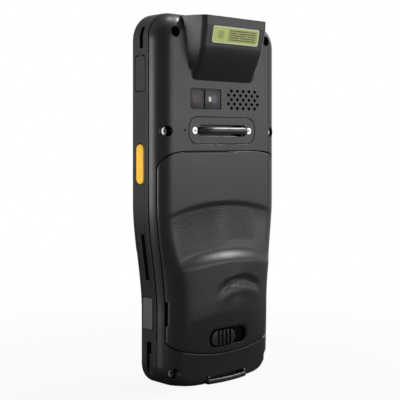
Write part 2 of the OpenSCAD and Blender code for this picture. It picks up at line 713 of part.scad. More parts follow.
module mid_frame() {
    color("#8f9499") from_back() difference() {
        union() {
            rings([[frame_v, wall + fit_gap], [frame_back_v, wall + fit_gap]]);
            // standoffs of the main board
            for (p = [[-24, 20], [12, 20], [-28, trigger_z - 19.3], [26, trigger_z - 19.3],
                [-20, plate_z + 5.7], [20, plate_z + 5.7], [0, window_z + 13.4]])
                pin_v(p[0], p[1], 1.8, frame_v, board_v);
        }
        at_screws() pin_v(0, 0, post_r + fit_gap, frame_v - 1, frame_back_v + 1);
        both_sides() block([half_head - ledge_in - 0.6, frame_v - 1, trigger_z - trigger_len / 2 - 2.7],
            [half_head, frame_back_v + 1, trigger_z + trigger_len / 2 + 2.7]);
        both_sides() block([half_grip - wall - 3.2, frame_v - 1, 12.2], [half_head, frame_back_v + 1, 22.6]);
        block([half_head - wall - 3.4, frame_v - 1, lanyard_z - lanyard_len / 2 - wall],
            [half_head, frame_back_v + 1, lanyard_z + lanyard_len / 2 + wall]);
        block([jack_x0 - 0.6, frame_v - 1, jack_mid - 5.4], [half_head, frame_back_v + 1, jack_mid + 5.6]);
        block([usb_x0 - 0.3, frame_v - 1, usb_mid - 4.9], [half_head, frame_back_v + 1, usb_mid + 5.9]);
    }
}

module main_board() {
    low = half_grip - 7.5;
    card_side = card_x0 - 3;
    bend_z = card_z + 13.1;
    trigger_side = half_head - 7.8;
    post_side = screw_spots[1][0] - post_r - 1.7;
    post_z = screw_spots[1][1];
    wide = half_head - 4.8;
    jack_side = jack_x0 - 1.1;
    crown_side = screw_spots[0][0] - post_r - 2;
    top = body_len - 5.5;
    color("#1d5c3a") from_back() slab(board_v, board_back_v)
        polygon([[-low, 11], [card_side, 11], [card_side, bend_z], [trigger_side, bend_z + 5],
            [trigger_side, post_z - 4.4], [post_side, post_z - 2.9], [post_side, post_z + 3.3],
            [wide, post_z + 5.1], [wide, jack_mid - 6.95], [jack_side, jack_mid - 6.95],
            [jack_side, jack_mid + 8.55], [crown_side, jack_mid + 10], [crown_side, top],
            [-crown_side, top], [-crown_side, top - 7.5], [-wide, top - 9.5], [-wide, post_z + 5.1],
            [-post_side, post_z + 3.3], [-post_side, post_z - 2.9], [-trigger_side, post_z - 4.4],
            [-trigger_side, bend_z + 5], [-low, bend_z]]);
}

module board_shields() {
    color("#b7bcc2") from_back() {
        block([-23, board_back_v, 30], [-4, board_back_v + 1.5, 62]);
        block([-1, board_back_v, 34], [14, board_back_v + 1.5, 60]);
        block([-18, board_back_v, trigger_z - 27.3], [16, board_back_v + 1.5, trigger_z - 9.3]);
    }
}

module keypad_board() {
    color("#2a6b46") from_back() {
        slab(frame_v - 0.8, frame_v) translate([0, key_z + 2 * key_pitch_z])
            square([2 * key_pitch_x + key_w - 2, 4 * key_pitch_z + key_h], center = true);
        slab(frame_v - 1.1, frame_v - 0.79) at_keys() circle(2.4);
    }
}

module earpiece() {
    color("#303236") from_back() slab(cavity_v + 0.05, frame_v)
        translate([0, earpiece_z]) round_rect(12, 4, 1);
}

module earpiece_mesh() {
    color("#3a3c40") from_back() slab(front_v + glass_t - 0.45, front_v + glass_t)
        translate([0, earpiece_z])
        round_rect(12.7, 2.1, 1);
}

module scan_engine() {
    color("#26282b") from_back() {
        difference() {
            block([-engine_w / 2, engine_v, engine_z], [engine_w / 2, engine_v + engine_d, engine_top]);
            translate([-4.6, scan_v - 0.4, engine_top - 1.5]) cylinder(r = 3.2, h = 3);
            translate([5, scan_v - 0.4, engine_top - 1.2]) cylinder(r = 2.2, h = 3);
        }
        translate([-4.6, scan_v - 0.4, engine_top - 1.7]) cylinder(r = 2.6, h = 1);
    }
}

module scan_bracket() {
    color("#9a9ea3") from_back() {
        block([-engine_w / 2 - 1, engine_v - 1, engine_z], [engine_w / 2 + 1, engine_v, engine_top - 0.5]);
        both_sides() block([engine_w / 2 - 3, board_back_v, engine_top - 7.4], [engine_w / 2,
            engine_v - 0.9, engine_top - 4]);
    }
}

module scan_window() {
    color("#3a0d12") from_back() translate([0, scan_v, scan_window_z])
        linear_extrude(scan_window_t) round_rect(scan_window_w, scan_window_d, 1.85);
}

module loudspeaker() {
    color("#1c1d1f") from_back() {
        block([grille_x - 11.4, -6.4, grille_z - 7], [grille_x + 11.4, skin_v - 0.02, grille_z + 7]);
        block([grille_x - 10.4, board_back_v, grille_z - 4.8], [grille_x - 6.4, -6.3, grille_z + 1.2]);
    }
}

module camera_module() {
    color("#17181a") from_back() {
        block([lens_x - 4, board_back_v, window_z - 4], [lens_x + 4, skin_v - 0.05, window_z + 4]);
        pin_v(lens_x, window_z, 2.8, skin_v - 1, -1);
    }
}

module camera_window() {
    color("#1b1a1d") from_back() slab(window_seat_v, -0.06) translate([camera_x, window_z])
        square([camera_w, window_h], center = true);
}

module flash_module() {
    color("#e8e6d8") from_back() {
        block([led_x - 3, board_back_v, window_z - 2.6], [led_x + 3, skin_v - 0.05, window_z + 2.6]);
        pin_v(led_x, window_z, 1.9, skin_v - 1, -1);
    }
}

module flash_window() {
    color("#20202a") from_back() slab(window_seat_v, -0.06) translate([flash_x, window_z])
        square([flash_w, window_h], center = true);
}

module label_plate() {
    tilt = atan((hump_rise - brow_v) / (label_face_top - hump_brow));
    color("#e4f07a") from_back()
        translate([0, (brow_v + hump_rise) / 2 + 0.01, (hump_brow + label_face_top) / 2])
        rotate([-tilt, 0, 0]) slab(0, 0.22) round_rect(label_w, label_h, 1);
}

// ---------------------------------------------------------------- strap fittings and screws

module strap_plate() {
    color("#2f3134") from_back() translate([0, 0, plate_z]) difference() {
        slab(-1.2, -0.05) round_rect(2 * plate_half_w, plate_h, 5);
        slab(-3, 2) round_rect(2 * bar_half + 3.6, 5, 2.4);
        both_sides() {
            pin_v(strap_screw_x, 0, 0.95, -2, 1);
            pin_v(strap_screw_x, 0, 1.6, -0.75, 1);
        }
    }
}

module strap_bar() {
    color("#6a6c70") from_back() translate([0, 0, plate_z]) difference() {
        union() {
            translate([-bar_half, bar_v, 0]) rotate([0, 90, 0]) cylinder(d = bar_d, h = 2 * bar_half);
            both_sides() {
                pin_v(bar_half, 0, bar_d / 2, -3, bar_v);
                translate([bar_half, bar_v, 0]) sphere(d = bar_d);
                block([bar_half - 0.4, -2.4, -2.4], [strap_screw_x + 2.6, -1.25, 2.4]);
            }
        }
        both_sides() pin_v(strap_screw_x, 0, 0.8 + shank_play, -4, 1);
    }
}

module strap_screws() {
    color("#d5d8db") from_back() translate([0, 0, plate_z]) both_sides() difference() {
        union() {
            pin_v(strap_screw_x, 0, 1.5, -0.75, -0.1);
            pin_v(strap_screw_x, 0, 0.8, -5.6, -0.7);
        }
        translate([strap_screw_x, 0, 0]) cross_slot(1.7, 0.45);
    }
}

// Cross recess of a screw head, sunk from depth v
module cross_slot(size, depth, v = -0.1) {
    block([-size / 2, v - depth, -size / 8], [size / 2, v + 1, size / 8]);
    block([-size / 8, v - depth, -size / 2], [size / 8, v + 1, size / 2]);
}

module housing_screws() {
    color("#c6c9cc") from_back() at_screws() difference() {
        union() {
            pin_v(0, 0, head_r, $well_floor_v, $well_floor_v + 1.5);
            pin_v(0, 0, shank_r, post_foot_v + 1, $well_floor_v + 0.1);
        }
        cross_slot(2.2, 0.9, $well_floor_v + 1.5);
    }
}

module strap_loop() {
    color("#333538") from_back() {
        linear_extrude(2.2) polygon(concat(
            [for (t = [-1:0.2:1.01]) [t * loop_half, mix(loop_bow_v, loop_end_v, t * t)]],
            [for (t = [1:-0.2:-1.01]) [t * loop_half, mix(loop_bow_v, loop_end_v, t * t) - 2]]));
        both_sides() block([loop_half - 1.6, -0.6, 0.05], [loop_half, loop_end_v - 0.2, 3.5]);
    }
}

module dock_contacts() {
    color("#d8b45a") from_back() at_contacts() translate([0, 0, 0.15]) cylinder(r = 1.2, h = 0.35);
}

// ---------------------------------------------------------------- battery, cover and latch

module battery_cover() {
    d = fit_gap + 0.05;
    rim_v = seat_v + 0.15;
    color("#313336") from_back() difference() {
        union() {
            skin([for (t = cover_rows) [for (s = cover_cols)
                let (p = cover_place(s, t, d), x = p[0], z = p[1], top = cover_v(x, z),
                    side = (1 - abs(s)) * cover_half(z, d),
                    end = min(z - cover_z_lo(s, d), cover_z_hi(s, d) - z))
                [x, z, max(top, rim_v + 0.5), min(side, end) < cover_rim ? rim_v : top - cover_t]]]);
            // block that carries the latch
            block([-13.6, 0.2, latch_z - 4.8], [13.6, 2.7, latch_z + 5]);
            // upper tabs
            both_sides() block([12, -4.1, cover_z_hi(0.55, d) - 1.4], [20, -2.7, cover_z_hi(0.55, d) + 1.6]);
        }
        // pry slots in the cover's side edges
        both_sides() block([half_grip - cover_land - 1.3, seat_v, 27.8], [half_grip + 1, 3, 38.7]);
        // latch recess and the slot of its stem
        translate([0, 0, latch_z]) {
            slab(1.5, 9) round_rect(latch_w, latch_h, latch_h / 2 - 0.01);
            slab(-3, 3) translate([-latch_travel / 2 + 1, 0])
                square([latch_travel + 4 + 2 * run_gap, 3 + 2 * run_gap], center = true);
        }
    }
}

module battery_latch() {
    color("#1d1e20") from_back() translate([latch_w / 2 - 8.2, 0, latch_z]) {
        difference() {
            slab(1.5 + run_gap, 4) round_rect(15, latch_h - 2 * run_gap, latch_h / 2 - run_gap - 0.01);
            for (x = [-4:2.4:4])
                block([x - 0.55, 3.3, -latch_h], [x + 0.55, 5, latch_h]);
        }
        // stem and tongue
        block([-4.3, -2.6, -1.5], [-0.3, 1.8, 1.5]);
        block([-9, -2.6, -2.2], [-0.3, -1.4, 2.2]);
    }
}

module cover_seal() {
    color("#3c3e42") from_back() slab(seat_v - 0.55, seat_v + 0.1) difference() {
        polygon(cover_outline(0.35));
        polygon(cover_outline(1.45));
    }
}

module battery() {
    color("#3b3f46") from_back() {
        block([-battery_w / 2, tray_floor_v + 0.05, battery_z],
            [battery_w / 2, tray_floor_v + battery_t, battery_top]);
        block([-17.5, tray_floor_v + battery_t - 0.1, battery_z],
            [17.5, tray_floor_v + battery_t + battery_step, battery_z + 26]);
    }
}

module battery_contacts() {
    color("#c9a24a") from_back() {
        block([-7, board_back_v, battery_top + 0.25], [7, -6, battery_top + 4]);
        for (i = [-1.5:1.5])
            block([i * 3.4 - 0.7, -6.6, battery_top + 0.05], [i * 3.4 + 0.7, -5.4, battery_top + 2]);
    }
}

// ---------------------------------------------------------------- moving side parts and sockets

// Scan trigger for the right side: cap, flange and presser
module scan_trigger() {
    translate([0, trigger_v, trigger_z]) {
        side_slab(half_head - wall - 0.2, half_head + trigger_proud)
            round_rect(trigger_w, trigger_len, trigger_w / 2 - 0.01);
        side_slab(half_head - wall - run_gap - trigger_flange_t, half_head - wall - run_gap)
            round_rect(trigger_w + 0.4, trigger_len + 2.4, 2.9);
    }
}

module scan_trigger_right() {
    color("#ffc23c") from_back() scan_trigger();
}

module scan_trigger_left() {
    color("#ffc23c") from_back() mirror([1, 0, 0]) scan_trigger();
}

module trigger_switches() {
    color("#55585c") from_back() both_sides() {
        block([switch_x - 3.4, frame_back_v, trigger_z - 3],
            [switch_x - 0.8, frame_back_v + 3, trigger_z + 3]);
        block([switch_x - 1, frame_back_v + 0.4, trigger_z - 1.2],
            [switch_x, frame_back_v + 2.6, trigger_z + 1.2]);
    }
}

// Rubber cover for a side port, hinged at its lower edge
module port_flap(x, v, z, length, arch) {
    side_slab(x - flap_t, x) translate([v, z + length / 2]) round_rect(flap_w, length, 1);
    side_slab(x - flap_t - 0.9, x - flap_t + 0.1) translate([v, z + length / 2 - 0.5])
        round_rect(3.4, length - 6.6, 0.8);
    if (arch)
        side_slab(x - flap_t, x) translate([v, z + length]) circle(0.95);
}

module jack_cover() {
    color("#2c2e31") from_back() port_flap(half_head, flap_v, jack_z, jack_len, true);
}

module usb_cover() {
    color("#4a4c4f") from_back() port_flap(half_grip + usb_proud, usb_v, usb_z, usb_len, false);
}

module jack_socket() {
    color("#2a2c2f") from_back() difference() {
        block([jack_x0, jack_v - 2.2, jack_mid - 4.6], [jack_x1, jack_v + 2.2, jack_mid + 4.6]);
        translate([jack_x0 + 1, jack_v, jack_mid]) rotate([0, 90, 0]) cylinder(r = jack_r, h = 20);
    }
}

module usb_socket() {
    color("#b9bdc2") from_back() difference() {
        block([usb_x0, usb_v - 1.7, usb_mid - 4.6], [usb_x1, usb_v + 1.7, usb_mid + 4.6]);
        block([usb_x0 + 0.6, usb_v - 1.3, usb_mid - 4.1], [usb_x1 + 1, usb_v + 1.3, usb_mid + 4.1]);
    }
}

module card_socket() {
    color("#b9bdc2") from_back() difference() {
        block([card_x0, frame_back_v, card_z - 11.3],
            [half_grip - wall - 0.5, frame_back_v + 2.8, card_z + 11.3]);
        block([card_x0 + 1, slot_v - 0.9, card_z - 10.1], [half_grip, slot_v + 0.9, card_z + 10.1]);
    }
}

module vibration_motor() {
    color("#9c9fa3") from_back() {
        translate([half_head - 10.2, board_back_v + 2.6, plate_z + 5.2]) {
            cylinder(r = 2.6, h = 8);
            translate([0, 0, 7.5]) cylinder(r = 0.6, h = 2);
            translate([0, 0, 8.5]) intersection() {
                cylinder(r = 2.3, h = 2.4);
                block([-3, -3, 0], [3, 0.6, 3]);
            }
        }
    }
}

// ---------------------------------------------------------------- keypad

// A key cap with its retaining flange and presser
module key_cap(i) {
    tint = i == 0 ? "#3f8f4f" : i == 1 ? "#f0a020" : i == 2 ? "#b8403a" : "#5c6066";
    color(tint) from_back() translate([key_place(i)[0], 0, key_place(i)[1]]) {
        slab(keypad_v - key_proud, cavity_v + 0.1) round_rect(key_w, key_h, 1.8);
        slab(cavity_v + 0.05, cavity_v + 0.35) round_rect(key_w + 1, key_h + 0.9, 2);
        slab(cavity_v + 0.3, frame_v - 1.1 - key_travel - 0.05) circle(1.5);
    }
}

front_housing();
rear_housing();
housing_gasket();
display_glass();
display_gasket();
display_panel();
mid_frame();
main_board();
board_shields();
keypad_board();
earpiece();
earpiece_mesh();
scan_engine();
scan_bracket();
scan_window();
loudspeaker();
camera_module();
camera_window();
flash_module();
flash_window();
label_plate();
strap_plate();
strap_bar();
strap_screws();
housing_screws();
battery_cover();
cover_seal();
battery_latch();
battery();
battery_contacts();
scan_trigger_left();
scan_trigger_right();
trigger_switches();
jack_cover();
usb_cover();
jack_socket();
usb_socket();
card_socket();
vibration_motor();
strap_loop();
dock_contacts();
for (i = [0:len(KEYS) - 1])
    key_cap(i);
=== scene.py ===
"""Portable barcode data terminal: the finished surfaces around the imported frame.

Shapes are worked out in millimetres, with v the depth from the flat back plane, positive towards the scanner hump.
"""

import math

import bpy
import mathutils
import numpy as np
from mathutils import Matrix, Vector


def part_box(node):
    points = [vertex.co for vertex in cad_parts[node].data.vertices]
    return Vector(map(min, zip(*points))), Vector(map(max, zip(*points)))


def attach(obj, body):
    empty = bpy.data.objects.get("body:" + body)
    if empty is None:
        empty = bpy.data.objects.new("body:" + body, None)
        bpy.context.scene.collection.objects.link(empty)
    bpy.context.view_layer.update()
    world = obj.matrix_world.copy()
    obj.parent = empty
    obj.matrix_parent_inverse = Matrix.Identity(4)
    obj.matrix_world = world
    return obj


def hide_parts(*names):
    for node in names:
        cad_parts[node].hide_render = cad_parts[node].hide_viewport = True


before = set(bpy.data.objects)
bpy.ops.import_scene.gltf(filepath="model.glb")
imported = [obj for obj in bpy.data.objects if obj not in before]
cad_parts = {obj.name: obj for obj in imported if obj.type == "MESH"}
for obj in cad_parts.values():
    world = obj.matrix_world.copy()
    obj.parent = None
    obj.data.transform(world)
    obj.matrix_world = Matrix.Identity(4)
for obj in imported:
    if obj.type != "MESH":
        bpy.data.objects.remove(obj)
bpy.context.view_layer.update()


# ---------------------------------------------------------------- front housing
# The display-side half of the case, a thin-walled moulding in grained charcoal PC/ABS. It carries the display seat,
# the key openings and every side opening, and six screws pull the rear housing down on its posts.

MM = 0.001
WALL = 1.9
FRONT_V, CAVITY_V, FRAME_V, SEAM_V = -19.0, -16.6, -14.7, -7.6
SEAM_GAP, SEAM_DEPTH = 0.33, 0.7
FOOT_R, CROWN_R, BROW_R = 10.0, 12.5, 1.2
WAIST_LO, WAIST_HI = 33.0, 82.0
TRIGGER_V, TRIGGER_Z = -13.0, 99.3
FLAP_V, LANYARD_V, CRADLE_V = -13.1, -12.3, -12.75
SLOT_V, CARD_Z = -12.5, 57.9
SIDES = (-1, 1)

front_low, front_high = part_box("front_housing")
LENGTH = front_high.z / MM
HALF_HEAD = front_high.x / MM
HALF_GRIP = 33.5
BACK_Y = front_low.y / MM - FRONT_V


def smooth(t):
    """A step from 0 to 1 with level ends: 3 t squared less 2 t cubed, held outside 0 and 1."""
    c = np.clip(t, 0.0, 1.0)
    return c * c * (3.0 - 2.0 * c)


def mix(a, b, t):
    """The value a share t of the way from a to b."""
    return a + (b - a) * t


def edge_drop(d, r):
    """Fall of a face at a distance d in from its edge, where the edge is a quarter circle of radius r."""
    e = np.clip(r - d, 0.0, r)
    return r - np.sqrt(r * r - e * e)


def waist(z):
    """Half width of the body before its corners: the grip's, easing out to the head's."""
    return mix(HALF_GRIP, HALF_HEAD, smooth((z - WAIST_LO) / (WAIST_HI - WAIST_LO)))


def back_radius(z):
    """Radius of the long back edge: 8.8 mm, easing to 8.25 mm round the lower end."""
    return mix(8.25, 8.8, smooth(z / FOOT_R))


def edge_in(v, z):
    """How far the outline moves in at a depth, for the rounding of the back edge."""
    return edge_drop(-v, back_radius(z))


def body_loop(v, inset, corner_steps=18, side_steps=70):
    """The body's outline at depth v, moved in by inset and by the back edge's rounding: foot corner, flank, crown."""
    foot = np.linspace(-np.pi / 2, 0.0, corner_steps)
    z_foot = FOOT_R + FOOT_R * np.sin(foot)
    r_foot = FOOT_R - inset - edge_in(v, z_foot)
    flank = np.linspace(FOOT_R, LENGTH - CROWN_R, side_steps)[1:-1]
    crown = np.linspace(0.0, np.pi / 2, corner_steps)
    z_crown = LENGTH - CROWN_R + CROWN_R * np.sin(crown)
    r_crown = CROWN_R - inset - edge_in(v, z_crown)
    x = np.concatenate([HALF_GRIP - FOOT_R + r_foot * np.cos(foot), waist(flank) - inset - edge_in(v, flank),
                        HALF_HEAD - CROWN_R + r_crown * np.cos(crown)])
    z = np.concatenate([FOOT_R + r_foot * np.sin(foot), flank, LENGTH - CROWN_R + r_crown * np.sin(crown)])
    loop = np.stack([x, np.full_like(x, v), z], axis=1)
    return np.concatenate([loop, loop[::-1] * [-1.0, 1.0, 1.0]])


def round_loop(width, height, corner, steps=8):
    """A rectangle with round corners about the origin, anticlockwise: four quarter circles joined by straight lines."""
    corner = min(corner, width / 2 - 1e-3, height / 2 - 1e-3)
    angle = np.linspace(0.0, np.pi / 2, steps + 1)
    arc = corner * np.stack([np.cos(angle), np.sin(angle)], axis=1)
    a, b = width / 2 - corner, height / 2 - corner
    turned = [arc, arc[:, ::-1] * [-1, 1], -arc, arc[:, ::-1] * [1, -1]]
    centres = [(a, b), (-a, b), (-a, -b), (a, -b)]
    return np.concatenate([quarter + centre for quarter, centre in zip(turned, centres)])


def along(axis, loop, depth):
    """Stands a flat loop on an axis, at one depth or at one for each point. The loop's plane on x is (v, z), on y it is
    (x, z), on z (x, v)."""
    flat = np.broadcast_to(np.asarray(depth, float), len(loop))
    columns = {"x": (flat, loop[:, 0], loop[:, 1]), "y": (loop[:, 0], flat, loop[:, 1]),
               "z": (loop[:, 0], loop[:, 1], flat)}
    return np.stack(columns[axis], axis=1)


def signed_volume(points, faces):
    """Six times the volume inside, from fans of each face: negative when the faces point inwards."""
    total = 0.0
    by_size = {}
    for face in faces:
        by_size.setdefault(len(face), []).append(face)
    for size, group in by_size.items():
        corners = points[np.array(group)]
        for k in range(1, size - 1):
            total += np.einsum("ij,ij->", corners[:, 0], np.cross(corners[:, k], corners[:, k + 1]))
    return total


def show(name, data):
    """Puts a new object into the scene."""
    piece = bpy.data.objects.new(name, data)
    bpy.context.scene.collection.objects.link(piece)
    return piece


def shade(piece, sharp_degrees=32.0):
    """Smooth shading that stays crisp at corners sharper than the given angle."""
    mesh = piece.data
    mesh.polygons.foreach_set("use_smooth", np.ones(len(mesh.polygons), bool))
    mesh.set_sharp_from_angle(angle=math.radians(sharp_degrees))


def put(name, points, faces, sharp_degrees=32.0):
    """Makes a mesh object from millimetre points measured from the back plane, with its faces turned outwards."""
    points = np.asarray(points, float)
    faces = [tuple(int(i) for i in face) for face in faces]
    if signed_volume(points, faces) < 0:
        faces = [face[::-1] for face in faces]
    mesh = bpy.data.meshes.new(name)
    mesh.from_pydata((points + [0.0, BACK_Y, 0.0]) * MM, [], faces)
    mesh.validate()
    piece = show(name, mesh)
    shade(piece, sharp_degrees)
    return piece


def loft(name, loops, sharp_degrees=32.0):
    """A closed solid through a row of like loops: quads between neighbours, and a face on both ends."""
    count, size = len(loops), len(loops[0])
    k, i = np.meshgrid(np.arange(count - 1), np.arange(size), indexing="ij")
    j = (i + 1) % size
    quads = np.stack([k * size + i, k * size + j, (k + 1) * size + j, (k + 1) * size + i], axis=-1).reshape(-1, 4)
    ends = [range(size - 1, -1, -1), range((count - 1) * size, count * size)]
    return put(name, np.concatenate(loops), [*quads, *ends], sharp_degrees)


def puck(name, middle, size, corner, stations, steps=8, axis="y"):
    """A round-cornered block: its outline at each station (depth, inset), moved in by the inset, along an axis."""
    loops = [along(axis, round_loop(size[0] - 2 * inset, size[1] - 2 * inset, max(corner - inset, 0.05), steps)
                   + np.array(middle), depth) for depth, inset in stations]
    return loft(name, loops)


def slab(name, middle, size, corner, low, high, steps=8, axis="y"):
    """A round-cornered block with straight sides between two depths."""
    return puck(name, middle, size, corner, [(low, 0), (high, 0)], steps, axis)


def pin(name, x, z, width, low, high, steps=8):
    """A round pin through the body between two depths."""
    return slab(name, (x, z), (width, width), width / 2, low, high, steps)


def rounded(low, high, low_r, high_r, steps=4):
    """Stations of a block whose two ends are rounded by quarter circles of low_r and high_r."""
    stations = []
    for end, r, way in ((low, low_r, 1.0), (high, high_r, -1.0)):
        angle = np.linspace(0.0, np.pi / 2, steps + 1) if r > 0 else np.array([np.pi / 2])
        rows = [(end + way * r * (1 - math.cos(a)), r * (1 - math.sin(a))) for a in angle]
        stations += rows if way > 0 else rows[::-1]
    return stations


def mouth(bottom, top, lip, steps=3):
    """Stations of a cut from a flat bottom up to a surface at top, flared by a round lip, and on past the surface."""
    angle = np.linspace(0.0, np.pi / 2, steps + 1)
    flare = [(top - lip + lip * math.sin(a), -lip * (1 - math.cos(a))) for a in angle]
    return [(bottom, 0.0)] + flare + [(top + 3.0, -lip)]


def box_cut(name, low, high):
    """A plain box between two corners."""
    low, high = np.array(low, float), np.array(high, float)
    size, middle = high - low, (high + low) / 2
    return loft(name, [along("y", round_loop(size[0], size[2], 0.02, 1) + middle[[0, 2]], v)
                       for v in (low[1], high[1])])


def bake(piece):
    """Applies the modifiers and keeps only the finished mesh."""
    graph = bpy.context.evaluated_depsgraph_get()
    mesh = bpy.data.meshes.new_from_object(piece.evaluated_get(graph))
    piece.modifiers.clear()
    piece.data = mesh


def carve(piece, tools, operation="DIFFERENCE", sharp_degrees=32.0):
    """Cuts each tool out of the piece, or joins it on, and clears the tools away."""
    for tool in tools:
        step = piece.modifiers.new(tool.name, "BOOLEAN")
        step.operation = operation
        step.solver = "MANIFOLD"
        step.object = tool
    bake(piece)
    for tool in tools:
        bpy.data.objects.remove(tool)
    shade(piece, sharp_degrees)


def even_out(piece):
    """Lets a carved moulding's large flat faces set the shading at their rims, so that no streaks run over them."""
    piece.modifiers.new("even_normals", "WEIGHTED_NORMAL").keep_sharp = True
    bake(piece)


def reshape(mesh, change):
    """Moves the vertices of a mesh to where the change puts them, in metres."""
    co = np.empty(len(mesh.vertices) * 3, np.float32)
    mesh.vertices.foreach_get("co", co)
    mesh.vertices.foreach_set("co", change(co.reshape(-1, 3)).astype(np.float32).ravel())
    mesh.update()


def mirrored(piece, name="other_side"):
    """A copy of a piece on the other side of the body, with its faces turned back outwards."""
    copy = show(name, piece.data.copy())
    reshape(copy.data, lambda co: co * np.array([-1, 1, 1], np.float32))
    copy.data.flip_normals()
    return copy


def feed(node, *values, **inputs):
    """Sets a node's inputs, in order or by name with _ for a space: to a value, or to what another node puts out."""
    named = [(node.inputs[name.replace("_", " ")], value) for name, value in inputs.items()]
    for socket, value in [*zip(node.inputs, values), *named]:
        if isinstance(value, bpy.types.Node):
            value = value.outputs[0]
        if isinstance(value, bpy.types.NodeSocket):
            node.id_data.links.new(value, socket)
        else:
            socket.default_value = value
    return node


def add(tree, kind, *values, **inputs):
    """A new shader node with its inputs fed. Its kind may be followed by an operation, as in Math MULTIPLY."""
    kind, *operation = kind.split()
    node = tree.nodes.new("ShaderNode" + kind)
    if operation:
        node.operation = operation[0]
    return feed(node, *values, **inputs)


def nodes_of(name):
    """A new material with its node tree, its shader and the place on the object that its patterns start from."""
    material = bpy.data.materials.new(name)
    material.use_nodes = True
    tree = material.node_tree
    return material, tree, tree.nodes["Principled BSDF"], add(tree, "TexCoord").outputs["Object"]


def shades(colour, change, top=2.0):
    """A colour made darker and lighter by a share, with no channel over the top."""
    return [(*[min(top, c * factor) for c in colour], 1.0) for factor in (1 - change, 1 + change)]


def grained(name, colour, rough, grain=0.35, grain_mm=0.28, gloss_level=0.22):
    """Moulded plastic: fine spark-eroded grain as a bump, slow patches in the gloss, and a slight change of tone."""
    material, tree, shader, where = nodes_of(name)
    fine = add(tree, "TexNoise", where, Scale=1.0 / (grain_mm * MM), Detail=3.0)
    slow = add(tree, "TexNoise", where, Scale=60.0, Detail=5.0)
    gloss = add(tree, "MapRange", slow, To_Min=rough * 0.875, To_Max=rough * 1.125)
    tone = add(tree, "MixRGB", fine, *shades(colour, 0.1))
    relief = add(tree, "Bump", Strength=grain, Distance=0.00004, Height=fine)
    feed(shader, Specular_IOR_Level=gloss_level, Roughness=gloss, Base_Color=tone, Normal=relief)
    return material


def finish_with(piece, material, body, slot, *stands_for):
    """Gives a piece its material and its place among the bodies, and hides the nodes that it stands for."""
    piece.data.materials.clear()
    piece.data.materials.append(material)
    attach(piece, body)
    if stands_for:
        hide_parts(*stands_for)


charcoal = grained("charcoal_housing", (0.0080, 0.0083, 0.0090), 0.37, gloss_level=0.29)

JACK_Z, JACK_LEN = 131.6, 15.7
USB_Z, USB_LEN, USB_V, USB_PROUD = 25.4, 14.3, -13.5, 0.35
FLAP_W, FLAP_T = 7.0, 1.25
FIT, RUN = 0.15, 0.2
TRIGGER_W, TRIGGER_LEN = 5.1, 17.8
SCREWS = [(HALF_HEAD - 9.6, LENGTH - 9.1), (HALF_HEAD - 5.5, 113.9), (HALF_GRIP - 4.7, 7.1)]
GLASS_W, GLASS_LEN, GLASS_Z = 58.0, 94.0, 62.0
KEY_PITCH, KEY_STEP, KEY_Z, KEY_W, KEY_H = 18.4, 9.6, 15.2, 14.6, 6.8
KEY_COLUMNS, KEY_ROWS = 3, 5

front = loft("front_shell", [body_loop(v, inset) for v, inset in [
    *rounded(FRONT_V, -14.0, BROW_R, 0.0, 6), (-11.0, 0.0), (-9.0, 0.0), (SEAM_V - SEAM_GAP - 0.12, 0.0),
    (SEAM_V - SEAM_GAP, 0.04), (SEAM_V - SEAM_GAP + 0.03, 0.12), (SEAM_V - SEAM_GAP + 0.04, SEAM_DEPTH),
    (SEAM_V, SEAM_DEPTH)]])
carve(front, [loft("display_room", [body_loop(v, WALL + 1.5) for v in (CAVITY_V, FRAME_V)]),
              loft("inner_room", [body_loop(v, WALL) for v in (FRAME_V - 0.01, -11.0, -9.0, SEAM_V + 1.0)])])
posts = [pin("post", side * x, z, 5.2, CAVITY_V - 0.2, SEAM_V) for x, z in SCREWS for side in SIDES]


def slot_room(z0, z1, x1):
    """The closed pocket behind a side slot, kept inside the wall."""
    room = box_cut("slot_room", (x1 - WALL - 3, CAVITY_V - 0.2, z0), (x1 + 3, CRADLE_V + 4.2, z1))
    carve(room, [loft("wall_inside", [body_loop(v, WALL / 2) for v in (CAVITY_V - 1, -14, -11, CRADLE_V + 5)])],
          "INTERSECT")
    return room


LANYARD_Z, LANYARD_LEN = LENGTH - 11.4, 9.5
right_groove_room = slot_room(12.5, 22.3, HALF_GRIP)
carve(front, posts + [slot_room(LANYARD_Z - 6.4, LANYARD_Z + 6.4, HALF_HEAD - 0.2), mirrored(right_groove_room),
                      right_groove_room], "UNION")


def key_place(i):
    """Middle of key i in x and z, counted from the upper left."""
    return (i % KEY_COLUMNS - 1) * KEY_PITCH, KEY_Z + (KEY_ROWS - 1 - i // KEY_COLUMNS) * KEY_STEP


EAR_Z = LENGTH - 7.0
glass_middle = (0.0, GLASS_Z + GLASS_LEN / 2)
cuts = [box_cut("keypad_step", (-40, FRONT_V - 1, -1), (40, FRONT_V + 1, GLASS_Z - 1.8)),
        slab("glass_seat", glass_middle, (GLASS_W + 2 * FIT, GLASS_LEN + 2 * FIT), 3.0, FRONT_V - 1, FRONT_V + 1.6),
        slab("display_window", glass_middle, (GLASS_W - 4, GLASS_LEN - 4), 0.1, FRONT_V + 1, CAVITY_V + 1, 1),
        puck("earpiece_slot", (0, EAR_Z), (13, 2.4), 1.15,
             [(FRONT_V - 1, -0.2), (FRONT_V, -0.2), (FRONT_V + 0.2, 0), (FRONT_V + 1.4, 0)]),
        slab("earpiece_hole", (0, EAR_Z), (9, 1.4), 0.1, FRONT_V + 1, CAVITY_V + 1, 1)]
cuts += [puck("key_opening", key_place(i), (KEY_W + 2 * RUN, KEY_H + 2 * RUN), 2.0,
              [(FRONT_V, -0.25), (FRONT_V + 1.0, -0.25), (FRONT_V + 1.25, 0), (CAVITY_V + 0.5, 0)])
         for i in range(KEY_COLUMNS * KEY_ROWS)]
cuts += [pin("screw_bore", side * x, z, 2.0, -14.3, 0) for x, z in SCREWS for side in SIDES]
carve(front, cuts)


